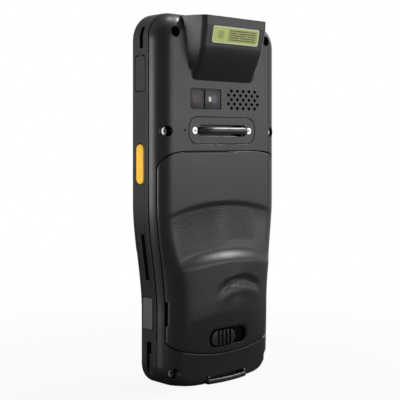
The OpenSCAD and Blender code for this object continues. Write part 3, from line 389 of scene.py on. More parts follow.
def side_cut(name, middle, size, corner, bottom, surface, lip=0.2):
    """A cut into the right-hand wall, from x = bottom out through the surface, with a softened mouth."""
    return puck(name, middle, size, corner, mouth(bottom, surface, lip), axis="x")


trigger_cut = side_cut("trigger_opening", (TRIGGER_V, TRIGGER_Z), (TRIGGER_W + 2 * RUN, TRIGGER_LEN + 2 * RUN), 2.95,
                       HALF_HEAD - WALL - 3, HALF_HEAD, 0.3)
groove, catch = [box_cut(name, (HALF_GRIP - depth, CRADLE_V - 1.65, z), (HALF_GRIP + 3, CRADLE_V + 1.65, 20))
                 for name, depth, z in (("cradle_groove", 1.2, 3.5), ("cradle_catch", 3.6, 14.5))]
cuts = [mirrored(trigger_cut), trigger_cut, mirrored(groove), mirrored(catch), groove, catch]
for x, v, z, length in ((HALF_HEAD, FLAP_V, JACK_Z, JACK_LEN), (HALF_GRIP + USB_PROUD, USB_V, USB_Z, USB_LEN)):
    cuts += [side_cut("port_seat", (v, z + length / 2), (FLAP_W + 2 * FIT, length + 2 * FIT), 1.1,
                      x - FLAP_T - FIT, min(x, HALF_GRIP) if x < HALF_HEAD else x, 0.18),
             slab("port_opening", (v + 0.1, z + length / 2 - 0.5), (5.4, length - 5), 1.0, x - 6, x + 1, axis="x")]
cuts += [slab("finger_notch", (FLAP_V, JACK_Z + JACK_LEN), (2.2, 2.2), 1.1, HALF_HEAD - FLAP_T - FIT, HALF_HEAD + 1,
              axis="x"),
         side_cut("lanyard_slot", (LANYARD_V, LANYARD_Z), (2.3, LANYARD_LEN), 0.6, HALF_HEAD - WALL - 2.4, HALF_HEAD,
                  0.15),
         slab("card_slot", (SLOT_V, CARD_Z), (2.4, 20.6), 0.2, HALF_GRIP - 6, HALF_HEAD + 2, axis="x")]
bay_middle = (-13.75, 57.6)
bay_line = slab("bay_line", bay_middle, (6.4, 31.6), 1.0, 30, 42, axis="x")
carve(bay_line, [slab("bay_inner", bay_middle, (5.9, 31.1), 0.75, 29, 43, axis="x"),
                 loft("bay_core", [body_loop(v, 0.22) for v in (-18.5, -14.0, -9.0)])])
cuts.append(bay_line)
cuts += [slab("contact_seat", (4.0 * i, CRADLE_V), (2.6, 2.6), 1.3, -1, 0.5, axis="z") for i in np.arange(-2.5, 3.0)]
carve(front, cuts)
even_out(front)
finish_with(front, charcoal, "terminal", "housing_plastic", "front_housing")

# ---------------------------------------------------------------- display, earpiece and their seats
# A chemically hardened cover glass with a printed black border lies on a foam tape in the front housing's seat. The
# liquid crystal stack hangs under it, and a woven steel mesh closes the earpiece slot above.

def plain(name, colour, rough, metal=0.0, coat=0.0, scale=900.0, bump=0.1, vary=0.12, gloss_level=0.3):
    """A surface with a fine speckle in its tone and a light bump, for metal, film, board and glass."""
    material, tree, shader, where = nodes_of(name)
    speck = add(tree, "TexNoise", where, Scale=scale, Detail=4.0)
    tone = add(tree, "MixRGB", speck, *shades(colour, vary, 1.0))
    relief = add(tree, "Bump", Strength=bump, Distance=0.00002, Height=speck)
    feed(shader, Roughness=rough, Specular_IOR_Level=gloss_level, Metallic=metal, Coat_Weight=coat, Base_Color=tone,
         Normal=relief)
    return material


def dress(material, *nodes):
    """Gives CAD nodes that keep their own shape a finished material."""
    for node in nodes:
        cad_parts[node].data.materials.clear()
        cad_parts[node].data.materials.append(material)


GLASS_T = 1.4
glass = puck("display_cover_glass", glass_middle, (GLASS_W, GLASS_LEN), 2.85,
             rounded(FRONT_V + 0.05, FRONT_V + GLASS_T, 0.25, 0.0))
finish_with(glass, plain("cover_glass", (0.006, 0.0065, 0.008), 0.06, coat=0.6, bump=0.0, vary=0.3), "terminal",
            "glass_black", "display_glass")
view_area = slab("display_view_area", glass_middle, (GLASS_W - 5.2, GLASS_LEN - 7.0), 0.3, FRONT_V + 0.03,
                 FRONT_V + 0.08, 2)
finish_with(view_area, plain("display_surface", (0.022, 0.026, 0.034), 0.12, coat=0.5, scale=3000, bump=0.0),
            "terminal", "glass_black")
dress(plain("foam_tape", (0.012, 0.012, 0.012), 0.9), "display_gasket")
dress(plain("display_stack", (0.02, 0.022, 0.028), 0.25, coat=0.3), "display_panel")


def woven_mesh(name, colour, pitch_mm):
    """Woven wire: two crossed sets of waves as a bump, with painted shade darkening the gaps between the wires."""
    material, tree, shader, where = nodes_of(name)
    sets = []
    for direction in "XZ":
        wave = add(tree, "TexWave", where, Scale=1.0 / (pitch_mm * MM) / 20.0 * math.pi)
        wave.bands_direction = direction
        sets.append(wave.outputs["Fac"])
    both = add(tree, "Math MULTIPLY", *sets)
    # The weave's low places are mixed towards near black: painted shade in the gaps.
    tone = add(tree, "MixRGB", both, (0.004, 0.004, 0.004, 1), (*colour, 1))
    feed(shader, Metallic=0.8, Roughness=0.4, Base_Color=tone, Normal=add(tree, "Bump", Distance=0.00005, Height=both))
    return material


dress(woven_mesh("steel_mesh", (0.16, 0.16, 0.17), 0.35), "earpiece_mesh")

# ---------------------------------------------------------------- keypad
# Fifteen double-shot caps on a silicone mat press metal domes on a small board. Each cap is a crowned pad with a
# raised legend: digits, a star, a hash, and plain bars on the three function keys above them.

KEY_PROUD = 0.7
KEYPAD_V = FRONT_V + 1.0
KEY_TOP = KEYPAD_V - KEY_PROUD
MARKS = ["", "", ""] + [str(i) for i in range(1, 10)] + ["*", "0", "#"]
KEYS = ["key_left", "key_scan", "key_right"] + [f"key_{i}" for i in range(1, 10)] + ["key_star", "key_0", "key_hash"]
TINTS = ["green", "amber", "red"] + ["grey"] * 12

key_finishes = {"grey": grained("key_plastic", (0.105, 0.11, 0.12), 0.5, grain=0.2),
                "green": grained("green_key_plastic", (0.04, 0.27, 0.07), 0.42, grain=0.15),
                "amber": grained("amber_key_plastic", (0.86, 0.33, 0.015), 0.42, grain=0.15),
                "red": grained("red_key_plastic", (0.5, 0.035, 0.03), 0.42, grain=0.15)}
legend_paint = plain("legend_paint", (0.78, 0.79, 0.8), 0.5)


def legend_mesh(text, x, z):
    """The cap's raised mark as a thin mesh on its crown: a character, or a plain bar where it has none."""
    if not text:
        return slab("mark", (x, z), (5.0, 0.9), 0.4, KEY_TOP - 0.03, KEY_TOP + 0.2)
    font = bpy.data.curves.new("legend", "FONT")
    font.body = text
    font.size = 4.6 * MM
    font.extrude = 0.06 * MM
    font.align_x = font.align_y = "CENTER"
    font.resolution_u = 3
    holder = show("legend", font)
    mesh = bpy.data.meshes.new_from_object(holder.evaluated_get(bpy.context.evaluated_depsgraph_get()))
    bpy.data.objects.remove(holder)
    reshape(mesh, lambda co: np.stack([x * MM + co[:, 0], (KEY_TOP + 0.03 + BACK_Y) * MM - co[:, 2], z * MM + co[:, 1]],
                                      axis=1))
    return show("mark", mesh)


def join(piece, others):
    """Adds the others' meshes to the piece, each keeping its own material."""
    with bpy.context.temp_override(active_object=piece, selected_editable_objects=[piece, *others],
                                   selected_objects=[piece, *others]):
        bpy.ops.object.join()
    return piece


for i, (key, text, tint) in enumerate(zip(KEYS, MARKS, TINTS)):
    x, z = key_place(i)
    cap = puck(key + "_cap", (x, z), (KEY_W, KEY_H), 1.8,
               [(KEY_TOP, 3.0), (KEY_TOP + 0.02, 1.6), *rounded(KEY_TOP + 0.06, CAVITY_V + 0.05, 0.55, 0.0)])
    flange = slab("flange", (x, z), (KEY_W + 1, KEY_H + 0.9), 2.0, CAVITY_V + 0.05, CAVITY_V + 0.35)
    plunger = pin("plunger", x, z, 3.0, CAVITY_V + 0.3, FRAME_V - 1.5)
    mark = legend_mesh(text, x, z)
    mark.data.materials.clear()
    for part, finish in ((cap, key_finishes[tint]), (flange, key_finishes[tint]), (plunger, key_finishes[tint]),
                         (mark, legend_paint)):
        part.data.materials.append(finish)
    join(cap, [flange, plunger, mark])
    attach(cap, key)
    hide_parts(key)

# ---------------------------------------------------------------- frame, boards and sockets
# A cast magnesium frame stiffens the case and carries the main board on standoffs. Tinned shields, the jack, the USB
# and card sockets, the side switches and the vibration motor are soldered to the board.

magnesium = plain("cast_magnesium", (0.42, 0.43, 0.45), 0.55, metal=0.9, scale=2500, bump=0.5)
solder_mask = plain("solder_mask", (0.015, 0.10, 0.045), 0.35, coat=0.4, scale=1500)
tinned = plain("tinned_steel", (0.58, 0.59, 0.61), 0.32, metal=1.0, scale=500)
black_nylon = plain("black_nylon", (0.02, 0.02, 0.022), 0.5, scale=1500, bump=0.3)
dress(magnesium, "mid_frame", "scan_bracket")
dress(solder_mask, "main_board", "keypad_board")
dress(tinned, "board_shields", "usb_socket", "card_socket", "vibration_motor")
dress(black_nylon, "earpiece", "scan_engine", "loudspeaker", "camera_module", "jack_socket", "trigger_switches")

# ---------------------------------------------------------------- rear housing
# The other half of the case. One moulding carries the scanner hump, the seats of the windows, the strap plate and the
# label, the loudspeaker grille, the screw wells, the battery tray and the chin below the battery cover.

HUMP_RISE = 9.3
HUMP_TOP, HUMP_FOOT, HUMP_BROW = LENGTH - 1.5, LENGTH - 30.0, LENGTH - 14.2
BROW_V = HUMP_RISE - 1.7
LABEL_TOP = HUMP_TOP - 3.6
LAND = 1.7
SEAT_V = -5.2
COVER_TOP = LENGTH - 61.75
COVER_CORNER = COVER_TOP - 8.0
COVER_FOOT, COVER_FOOT_RISE = 13.0, 7.4
BOW = 0.0045
HUMP_CORNER_R, SHOULDER_R = 4.0, 3.0
SWELL_LO, SWELL_HI = 2.1, 5.4
PLATE_Z, WINDOW_Z = LENGTH - 52.5, LENGTH - 38.2


def hump_height(z):
    """Rise of the hump: steep at its foot, easing to the brow, then a straight slope under the label."""
    below = BROW_V * (1 - np.clip(1 - (z - HUMP_FOOT) / (HUMP_BROW - HUMP_FOOT), 0, None) ** 1.35)
    above = mix(BROW_V, HUMP_RISE, np.clip((z - HUMP_BROW) / (LABEL_TOP - HUMP_BROW), 0, 1))
    return np.where(z > HUMP_BROW, above, below - 0.4 * np.clip(HUMP_FOOT - z, 0, None))


def hump_loop(z, inset=0.0):
    """One level section of the hump: straight flanks that lean in to a crest with round shoulders. Near the foot
    the section narrows along a circle of 4 mm, so that the foot's two corners are round."""
    share = (HUMP_TOP - z) / (HUMP_TOP - HUMP_FOOT)
    turn = 1.0 - min(1.0, max(0.0, (z - HUMP_FOOT) / HUMP_CORNER_R))
    corner = HUMP_CORNER_R * (1.0 - math.sqrt(1.0 - turn * turn))
    base = 23.8 - 2.8 * share - corner - inset
    crest = 20.6 - 1.2 * share - SHOULDER_R - corner - inset
    height = float(hump_height(z)) - inset
    r = min(3.2, max(0.1, height))
    a = np.radians(np.linspace(20.0, 90.0, 9))
    x = np.concatenate([[base, base], crest + SHOULDER_R * np.cos(a) + max(0.0, 2.0 - height) * 0.6])
    v = np.maximum(np.concatenate([[SEAM_V, -0.3], height - r * (1 - np.sin(a))]), SEAM_V)
    half = np.stack([x, v, np.full_like(x, z)], axis=1)
    return np.concatenate([half, half[::-1] * [-1, 1, 1]])


def palm(z, share=0.0):
    """The palm swell: up from the chin to 5.4 mm, then down a short flank and a long run-out. The flank takes three
    fifths of the fall in the middle and less towards the sides."""
    steep = 0.6 * (1.0 - 0.4 * np.clip(share, 0.0, 1.0) ** 2)
    return mix(SWELL_LO, SWELL_HI, smooth(z / 38.0)) * (1.0 - steep * smooth((z - 54.5) / 6.0)
                                                        - (1.0 - steep) * smooth((z - 57.0) / 20.0))


def half_width(z):
    """The waist less what the round corners at the foot and the crown take off."""
    return waist(z) - edge_drop(z, FOOT_R) - edge_drop(LENGTH - z, CROWN_R)


def back_face(x, z):
    """Depth of the back face: the palm swell, less the cube of a place's share of the half width and less the fall at
    the long edges."""
    share = np.abs(x) / np.maximum(1.0, half_width(z) - LAND)
    swell = palm(z + BOW * x * x, share) * np.clip(1.0 - share ** 3, 0.0, None)
    return swell - edge_drop(half_width(z) - np.abs(x), back_radius(z))


def grid_solid(name, x, z, top, bottom, sharp_degrees=32.0):
    """A closed solid over a grid of places: its top and bottom height fields, joined round the rim."""
    upper, lower = [np.stack([x, v, z], axis=-1).reshape(-1, 3) for v in (top, bottom)]
    count = x.size
    index = np.arange(count).reshape(x.shape)
    quads = np.stack([index[:-1, :-1], index[:-1, 1:], index[1:, 1:], index[1:, :-1]], axis=-1).reshape(-1, 4)
    rim = np.concatenate([index[0, :], index[1:, -1], index[-1, -2::-1], index[-2:0:-1, 0]])
    after = np.roll(rim, -1)
    wall = np.stack([rim + count, after + count, after, rim], axis=1)
    faces = np.concatenate([quads, quads[:, ::-1] + count, wall])
    return put(name, np.concatenate([upper, lower]), faces, sharp_degrees)


def box_pair(name, near, far, low, high):
    """Two plain boxes on either side of the middle, from near to far off it. Low and high give v and z."""
    return [box_cut(name, (min(side * near, side * far), *low), (max(side * near, side * far), *high))
            for side in (1, -1)]


def cover_high(s, d=0.0):
    """Upper edge of the battery cover at a share s across: a flat arch between its two corners."""
    return mix(COVER_CORNER, COVER_TOP, np.sqrt(np.clip(1 - np.abs(s) ** 8, 0, None))) - d


def cover_low(s, d=0.0):
    """Lower edge of the battery cover: a shallow bow that turns up sharply at the sides."""
    return COVER_FOOT + COVER_FOOT_RISE * (0.7 * s * s + 0.3 * np.abs(s) ** 24) + d


def cover_loop(d):
    """The battery cover's outline in x and z, moved in by d."""
    s = np.sin(np.linspace(-np.pi / 2, np.pi / 2, 121))
    t = np.linspace(0, 1, 90)[1:-1]
    z_side = mix(cover_low(1.0, d), cover_high(1.0, d), t)
    z_low, z_high = cover_low(s, d), cover_high(s, d)
    low = np.stack([s * (half_width(z_low) - LAND - d), z_low], axis=1)
    high = np.stack([s * (half_width(z_high) - LAND - d), z_high], axis=1)
    side = np.stack([half_width(z_side) - LAND - d, z_side], axis=1)
    return np.concatenate([low, side, high[::-1], side[::-1] * [-1, 1]])


rear_depths = [-7.15, -6.8, -6.2, -5.5, -4.8, -4.1, -3.4, -2.75, -2.15, -1.6, -1.15, -0.78, -0.48, -0.25, -0.1, -0.02,
               0]
rear = loft("rear_shell", [body_loop(v, inset) for v, inset in [
    (SEAM_V, SEAM_DEPTH), (SEAM_V + SEAM_GAP - 0.04, SEAM_DEPTH), (SEAM_V + SEAM_GAP - 0.03, 0.12),
    (SEAM_V + SEAM_GAP, 0.04)] + [(v, 0.0) for v in rear_depths]])
hump_levels = np.concatenate([np.arange(HUMP_FOOT - 0.8, HUMP_BROW - 0.3, 0.6), np.arange(HUMP_BROW, HUMP_TOP, 0.6),
                              [HUMP_TOP - 0.25, HUMP_TOP]])
hump = loft("hump", [hump_loop(z, 0.25 if z == HUMP_TOP else 0.0) for z in hump_levels])
chin_rows = np.concatenate([[0, 0.1, 0.3, 0.6, 1.0, 1.5, 2.2], np.arange(3.0, 22.1, 0.8)])
chin_columns = np.sin(np.linspace(-np.pi / 2, np.pi / 2, 97))
chin_z = np.repeat(chin_rows[:, None], len(chin_columns), axis=1)
chin_x = chin_columns[None, :] * (half_width(chin_z) - 0.02)
chin_top = back_face(chin_x, chin_z) - 1.1 * (1 - np.minimum(1, chin_z / 2.2)) ** 2
chin = grid_solid("chin", chin_x, chin_z, np.maximum(chin_top, SEAM_V + 0.05), np.full_like(chin_x, SEAM_V))
carve(rear, [hump, chin], "UNION")

seat_loops = [along("y", cover_loop(0.0), SEAT_V)]
for outset, rise in ((0.0, -0.3), (-0.1, -0.1), (-0.3, 0.0), (-0.3, 3.0)):
    loop = cover_loop(outset)
    seat_loops.append(along("y", loop, np.maximum(back_face(*loop.T) + rise, SEAT_V + 0.5)))
seat_loops.append(along("y", cover_loop(-0.3), HUMP_RISE + 2))
UPPER_BAY_Z = COVER_TOP + 2.6
bay = loft("upper_bay", [body_loop(v, WALL) for v in (SEAM_V - 1, -6.2, -4.8, -3.4, -2.6, -2.0)])
carve(bay, [box_cut("above", (-HALF_HEAD - 1, -20, UPPER_BAY_Z), (HALF_HEAD + 1, 20, LENGTH + 1))], "INTERSECT")
hump_room = loft("hump_room", [hump_loop(z, 1.8) for z in np.linspace(HUMP_FOOT + 2, HUMP_TOP - 2, 30)])
carve(rear, [loft("cover_seat", seat_loops), bay, hump_room,
             box_cut("end_room", (-21.7, SEAM_V - 1, HUMP_BROW), (21.7, -2.0, HUMP_TOP - 2)),
             box_cut("chin_room", (-18, SEAM_V - 1, 3.2), (18, -1, COVER_FOOT - 3))])

LATCH_Z = 20.3
BATTERY_W, BATTERY_Z = 50.0, 26.0
BATTERY_TOP = COVER_TOP - 12.0
adds = [box_cut("tray", (-BATTERY_W / 2 - 1.4, -9.1, BATTERY_Z - 1.5),
                (BATTERY_W / 2 + 1.4, SEAT_V - 0.5, BATTERY_TOP + 1.5)),
        box_cut("plate_block", (-20.6, -7, PLATE_Z - 6.45), (20.6, -1.8, PLATE_Z + 6.05)),
        box_cut("keeper_post", (-13, SEAT_V - 0.5, LATCH_Z - 2.6), (-10.6, -0.2, LATCH_Z + 2.6)),
        box_cut("keeper_lip", (-12, -1.2, LATCH_Z - 2.6), (-6.8, -0.2, LATCH_Z + 2.6))]
adds += [pin("boss", side * x, z, 6.6, SEAM_V, rise, 6)
         for (x, z), rise in zip(SCREWS, (-1.8, -2.6)) for side in SIDES]
carve(rear, adds, "UNION")

LENS_X, LED_X = 16.2, 7.4
WINDOW_H = 8.9
WINDOWS = (("camera", 15.75, 8.0), ("flash", 6.3, 9.9))
SCAN_V = 1.6
STRAP_SCREW_X = 17.2
WELL_FLOORS = (-5.9, -4.6, -4.6)
cuts = [box_cut("battery_pocket", (-BATTERY_W / 2 - RUN, -8.0, BATTERY_Z - RUN),
                (BATTERY_W / 2 + RUN, 9.3, BATTERY_TOP + RUN)),
        box_cut("contact_slot", (-7.3, -10.1, BATTERY_TOP - 0.5), (7.3, SEAT_V + 1, BATTERY_TOP + 4.3))]
for (x, z), well_floor in zip(SCREWS, WELL_FLOORS):
    for side in SIDES:
        cuts += [pin("well", side * x, z, 4.8, well_floor, 9.3, 10),
                 pin("shank_hole", side * x, z, 2.4, SEAM_V - 1, 0, 6)]
tab_z = float(cover_high(0.55))
cuts += box_pair("tab_slot", 11.5, 20.5, (-4.6, tab_z - 2), (-2.2, UPPER_BAY_Z + 1))
PLATE_W, PLATE_H = 42.0, 12.1
TROUGH_W, TROUGH_H = 30.8, 5.0
cuts += [puck("plate_seat", (0, PLATE_Z), (PLATE_W + 2 * FIT, PLATE_H + 2 * FIT), 5.1, mouth(-1.2, 0, 0.22)),
         slab("trough", (0, PLATE_Z), (TROUGH_W, TROUGH_H), 2.4, -4.4, 2)]
for side in SIDES:
    cuts += [slab("bracket_pocket", (side * 16.45, PLATE_Z), (7.3, 5.2), 0.2, -2.5, 0, 2),
             pin("strap_screw_hole", side * STRAP_SCREW_X, PLATE_Z, 1.7, -5.8, 0, 6),
             slab("leg_pocket", (side * 14.1, PLATE_Z), (2.6, 3.6), 0.1, -4.4, 0, 2)]
cuts += [puck(name + "_seat", (x, WINDOW_Z), (width + 2 * FIT, WINDOW_H + 2 * FIT), 0.5, mouth(-0.9, 0, 0.15))
         for name, x, width in WINDOWS]
cuts += [pin("lens_hole", LENS_X, WINDOW_Z, 6.2, -3, 1), pin("led_hole", LED_X, WINDOW_Z, 4.4, -3, 1),
         pin("microphone_hole", 23.4, PLATE_Z + 0.1, 1.0, -3, 0, 4),
         slab("scan_window_seat", (0, SCAN_V), (28.3, 9.9), 2.0, HUMP_TOP - 1.45, HUMP_TOP + 4, axis="z"),
         slab("scan_opening", (0, SCAN_V), (25.0, 7.2), 1.5, HUMP_TOP - 5, HUMP_TOP + 1, axis="z")]
HOLE_W, HOLE_H, GRILLE_X = 1.8, 1.4, -13.3
for row, count in zip(range(-2, 3), (5, 6, 5, 6, 5)):
    cuts += [puck("sound_hole", (GRILLE_X + (i - (count - 1) / 2) * 3.85, WINDOW_Z + 0.2 + row * 2.0),
                  (HOLE_W, HOLE_H), HOLE_H / 2, mouth(-3.0, 0, 0.12, 2), 3) for i in range(count)]
cuts += [box_cut("loop_notch", (-10.2, -0.4, -1), (10.2, 9, 3.6)),
         *box_pair("leg_slot", 10.1, 12.3, (-0.8, -1), (9, 3.7)),
         *box_pair("pry_pocket", HALF_GRIP - LAND - 1.4, HALF_GRIP - LAND - 0.05, (-7.2, 27.8), (SEAT_V + 1, 38.7))]
seal_groove = loft("seal_groove", [along("y", cover_loop(0.3), v) for v in (-5.8, -5.1)])
carve(seal_groove, [loft("seal_core", [along("y", cover_loop(1.5), v) for v in (-6, -5)])])
cuts.append(seal_groove)
carve(rear, cuts)
even_out(rear)
finish_with(rear, charcoal, "terminal", "housing_plastic", "rear_housing")

# ---------------------------------------------------------------- battery, its contacts and its seals
# Two flat cells in a grey printed film lie in the tray. A rubber ring in the seat keeps water out under the cover,
# and a flat ring of the same rubber lies in the seam of the case.

dress(plain("battery_film", (0.05, 0.055, 0.065), 0.45, coat=0.2, scale=400), "battery")
dress(plain("gold_plate", (0.83, 0.60, 0.22), 0.22, metal=1.0, scale=600), "battery_contacts", "dock_contacts")
dress(plain("seal_rubber", (0.05, 0.051, 0.054), 0.7, scale=1800, bump=0.4), "cover_seal", "housing_gasket")

# ---------------------------------------------------------------- battery cover
# The removable back of the grip, 1.6 mm charcoal PC/ABS. Fine chevron ribs are moulded into its two grip fields, with
# a smooth finger ridge between them, and a thumb scoop and the latch recess below.

RIB_PITCH = 1.0
RIB_RISE = 0.115
RIB_STEPS = 6
COVER_GAP = 0.28
RIM_V = SEAT_V + 0.15
THUMB_X = -6.0


def rib_line(x):
    """How far a rib climbs from the middle of the cover to a place across it: steep first, level at the sides."""
    share = np.clip((np.sqrt(x * x + 20.0) - 4.47) / 36.0, 0, 1)
    return 17.0 * (1 - (1 - share) ** 1.6)


def thumb_scoop(x, z):
    """Depth of the small thumb scoop: an arc-shaped step 0.9 mm deep over a soft lip, run out to the sides."""
    s = x - THUMB_X
    a = z + 0.024 * s * s
    step = 0.9 * smooth((a - 43.0) / 1.6) * (1 - smooth((a - 46.5) / 2.0))
    return (step - 0.25 * np.exp(-((a - 41.0) / 2.0) ** 2)) * (1 - smooth((np.abs(s) - 8.0) / 8.0))


def finger_scoop(x, z):
    """Depth of the shallow finger scoop above the ridge, with a soft arched step at its upper end."""
    a = z + BOW * x * x
    return (0.65 * smooth((a - 58.0) / 8.0) * (1 - smooth((a - 79.4) / 3.0))
            * (1 - (np.abs(x) / (half_width(z) - LAND)) ** 2.5))


def field(x, z, low, high, fade=0.8):
    """1 inside a grip field between two bowed lines, fading to 0 over a short way at its edges."""
    bow = z + BOW * x * x
    side = (half_width(z) - LAND - np.abs(x) - 2.0) / 9.0
    return smooth((bow - low) / fade) * smooth((high - bow) / fade) * smooth(side) ** 1.5


def ribs(x, z):
    """Height of the moulded ribs: rounded ridges along the rib lines, only in the two grip fields."""
    phase = (z - rib_line(x)) / RIB_PITCH
    ridge = (0.5 + 0.5 * np.cos(2 * np.pi * phase)) ** 1.3
    upper = field(x, z, 60.5 + 3.5 * smooth((5.0 - x) / 12.0), 79.8) * mix(0.1, 1.0, smooth((x + 25.0) / 10.0))
    lower = field(x, z, 31.0, 55.0) * mix(0.08, 0.62, smooth((x + 10.0) / 8.0))
    middle = mix(0.6, 1.0, smooth(np.abs(x) / 6.0))
    return RIB_RISE * ridge * middle * np.maximum(upper, lower)


def cover_grid():
    """Places over the cover. Its rows follow the rib lines in the grip fields and bend to the edges above and below."""
    s = np.sin(np.linspace(-np.pi / 2, np.pi / 2, 91))
    low_start, high_start = 17.0, 83.0
    rows = [cover_low(s, COVER_GAP) + rise for rise in (0.0, 0.05, 0.15, 0.35)]
    first = rows[-1]
    begin = low_start + rib_line(s * 31.5)
    rows += [mix(first, begin, t) for t in np.linspace(0, 1, 9)[1:-1]]
    for c in np.arange(low_start, high_start + 1e-6, RIB_PITCH / RIB_STEPS):
        x_half = half_width(c + rib_line(s * 34.0)) - LAND - COVER_GAP
        row, limit = c + rib_line(s * x_half), 81.0 - BOW * (s * x_half) ** 2
        rows.append(np.where(row > limit, limit + 0.75 * (row - limit), row))
    last = rows[-1]
    top = cover_high(s, COVER_GAP)
    rows += [mix(last, top - 0.35, t) for t in np.linspace(0, 1, 22)[1:]]
    rows += [top - rise for rise in (0.15, 0.05, 0.0)]
    z = np.array(rows)
    x = s[None, :] * (half_width(z) - LAND - COVER_GAP)
    return x, z, s


x, z, s = cover_grid()
face = back_face(x, z) - thumb_scoop(x, z) - finger_scoop(x, z)
side = (1 - np.abs(s)) * (half_width(z) - LAND - COVER_GAP)
end = np.minimum(z - cover_low(s, COVER_GAP), cover_high(s, COVER_GAP) - z)
border = np.minimum(side, end)
top = np.maximum(face + ribs(x, z) - edge_drop(border, 0.45), RIM_V + 0.5)
under = np.where(border < 1.5, RIM_V, face - 1.6)
cover = grid_solid("battery_cover_shell", x, z, top, under, 40.0)
carve(cover, [*box_pair("tab", 12, 20, (-4.1, tab_z - COVER_GAP - 1.4), (-2.7, tab_z - COVER_GAP + 1.6)),
              box_cut("latch_block", (-13.6, 0.2, LATCH_Z - 4.8), (13.6, 2.7, LATCH_Z + 5.0))], "UNION", 40.0)
LATCH_W, LATCH_H, LATCH_TRAVEL = 23.0, 7.3, 4.6


def stem_slot(low, high):
    """The slot that the latch's stem slides in."""
    return slab("stem_slot", (-LATCH_TRAVEL / 2 + 1, LATCH_Z), (LATCH_TRAVEL + 4.4, 3.4), 0.1, low, high, 1)


cuts = [*box_pair("pry_slot", HALF_GRIP - LAND - 0.9, HALF_GRIP + 1, (SEAT_V, 27.8), (3, 38.7)),
        puck("latch_recess", (0, LATCH_Z), (LATCH_W, LATCH_H), LATCH_H / 2,
             [(1.5, 0), (2.6, 0), (3.1, -0.12), (3.5, -0.38), (3.9, -0.8), (4.6, -1.7), (9.0, -3.0)], 12),
        stem_slot(-3, 3)]
carve(cover, cuts, sharp_degrees=40.0)
finish_with(cover, grained("cover_plastic", (0.0084, 0.0087, 0.0094), 0.37, grain=0.25, gloss_level=0.3),
            "battery_cover", "cover_plastic", "battery_cover")

# ---------------------------------------------------------------- battery latch
# A black acetal slider in the recess at the foot of the cover, over a thin near-black sheet on the recess floor that is
#  painted shade. Its tongue passes through a slot and slides under the housing's keeper, and cross ribs on its face
#  give the thumb a hold. Like sheets of painted shade line the pry slots.

# A thin near-black sheet on the latch recess floor: painted shade where the recess lies in shadow.
latch_recess_shade_sheet = slab("latch_recess_shade_sheet", (0, LATCH_Z), (LATCH_W - 0.2, LATCH_H - 0.2), LATCH_H / 2 - 0.1, 1.5, 1.62, 12)
carve(latch_recess_shade_sheet, [stem_slot(1, 2)])
# A near-black matt finish for the sheets of painted shade.
shade_sheet = plain("painted_shade_sheet", (0.003, 0.003, 0.003), 0.9, gloss_level=0.05)
finish_with(latch_recess_shade_sheet, shade_sheet, "battery_cover", "latch_plastic")
# Thin near-black sheets lining the two pry slots: painted shade inside the slots.
pry_slot_shade_sheets = box_pair("pry_slot_shade_sheet", HALF_GRIP - LAND - 0.95, HALF_GRIP - LAND - 0.85, (RIM_V + 0.1, 28.0), (-2.75, 38.5))
finish_with(join(pry_slot_shade_sheets[0], pry_slot_shade_sheets[1:]), shade_sheet, "battery_cover", "latch_plastic")
latch_x = LATCH_W / 2 - 8.2
slider = puck("latch_slider", (latch_x, LATCH_Z), (15, LATCH_H - 2 * RUN), LATCH_H / 2 - RUN,
              rounded(1.5 + RUN, 4.0, 0.0, 0.5), 10)
carve(slider, [puck("rib_groove", (latch_x + x0, LATCH_Z), (1.1, 2 * LATCH_H), 0.1,
                    [(3.3, 0), (3.7, -0.05), (4.2, -0.2), (5, -0.3)], 2) for x0 in np.arange(-4, 4.1, 2.4)])
carve(slider, [box_cut("stem", (latch_x - 4.3, -2.6, LATCH_Z - 1.5), (latch_x - 0.3, 1.8, LATCH_Z + 1.5)),
               box_cut("tongue", (latch_x - 9, -2.6, LATCH_Z - 2.2), (latch_x - 0.3, -1.4, LATCH_Z + 2.2))], "UNION")
finish_with(slider, grained("latch_acetal", (0.009, 0.009, 0.010), 0.38, grain=0.15), "battery_latch",
            "latch_plastic", "battery_latch")

# ---------------------------------------------------------------- scan triggers
# One amber button on each side, a semi-gloss moulding with a soft crown that stands 0.6 mm out of the wall. A flange
# behind the wall holds it in, and a side switch springs it back.

amber = grained("amber_trigger", (1.0, 0.56, 0.05), 0.3, grain=0.08)
TRIGGER_PROUD = 0.6
trigger = puck("trigger_right", (TRIGGER_V, TRIGGER_Z), (TRIGGER_W, TRIGGER_LEN), TRIGGER_W / 2 - 0.01,
               rounded(HALF_HEAD - WALL - 0.2, HALF_HEAD + TRIGGER_PROUD, 0.0, 0.9, 6), 12, "x")
flange_x = HALF_HEAD - WALL - RUN
carve(trigger, [slab("flange", (TRIGGER_V, TRIGGER_Z), (TRIGGER_W + 0.4, TRIGGER_LEN + 2.4), 2.9, flange_x - 0.75,
                     flange_x, axis="x")], "UNION")
trigger_left = mirrored(trigger, "trigger_left")
finish_with(trigger, amber, "scan_trigger_right", "trigger_plastic", "scan_trigger_right")
finish_with(trigger_left, amber, "scan_trigger_left", "trigger_plastic", "scan_trigger_left")

# ---------------------------------------------------------------- port covers
# Soft rubber flaps over the headset jack and the USB port, each on a tether at its lower edge. The upper one has a
# finger notch and a raised plain arch, the lower one is lighter and stands slightly proud.

def flap(name, x, v, z, length, extras):
    """A flap with a rounded face a hair inside its seat, and the plug behind it that fills the port's mouth."""
    piece = puck(name, (v, z + length / 2), (FLAP_W - 2 * FIT, length - 2 * FIT), 0.9,
                 rounded(x - FLAP_T, x, 0.0, 0.3), axis="x")
    plug = puck("plug", (v, z + length / 2 - 0.5), (3.4, length - 6.6), 0.8,
                [(x - FLAP_T - 0.9, 0.2), (x - FLAP_T - 0.7, 0), (x - FLAP_T + 0.1, 0)], axis="x")
    carve(piece, [plug, *extras], "UNION")
    return piece


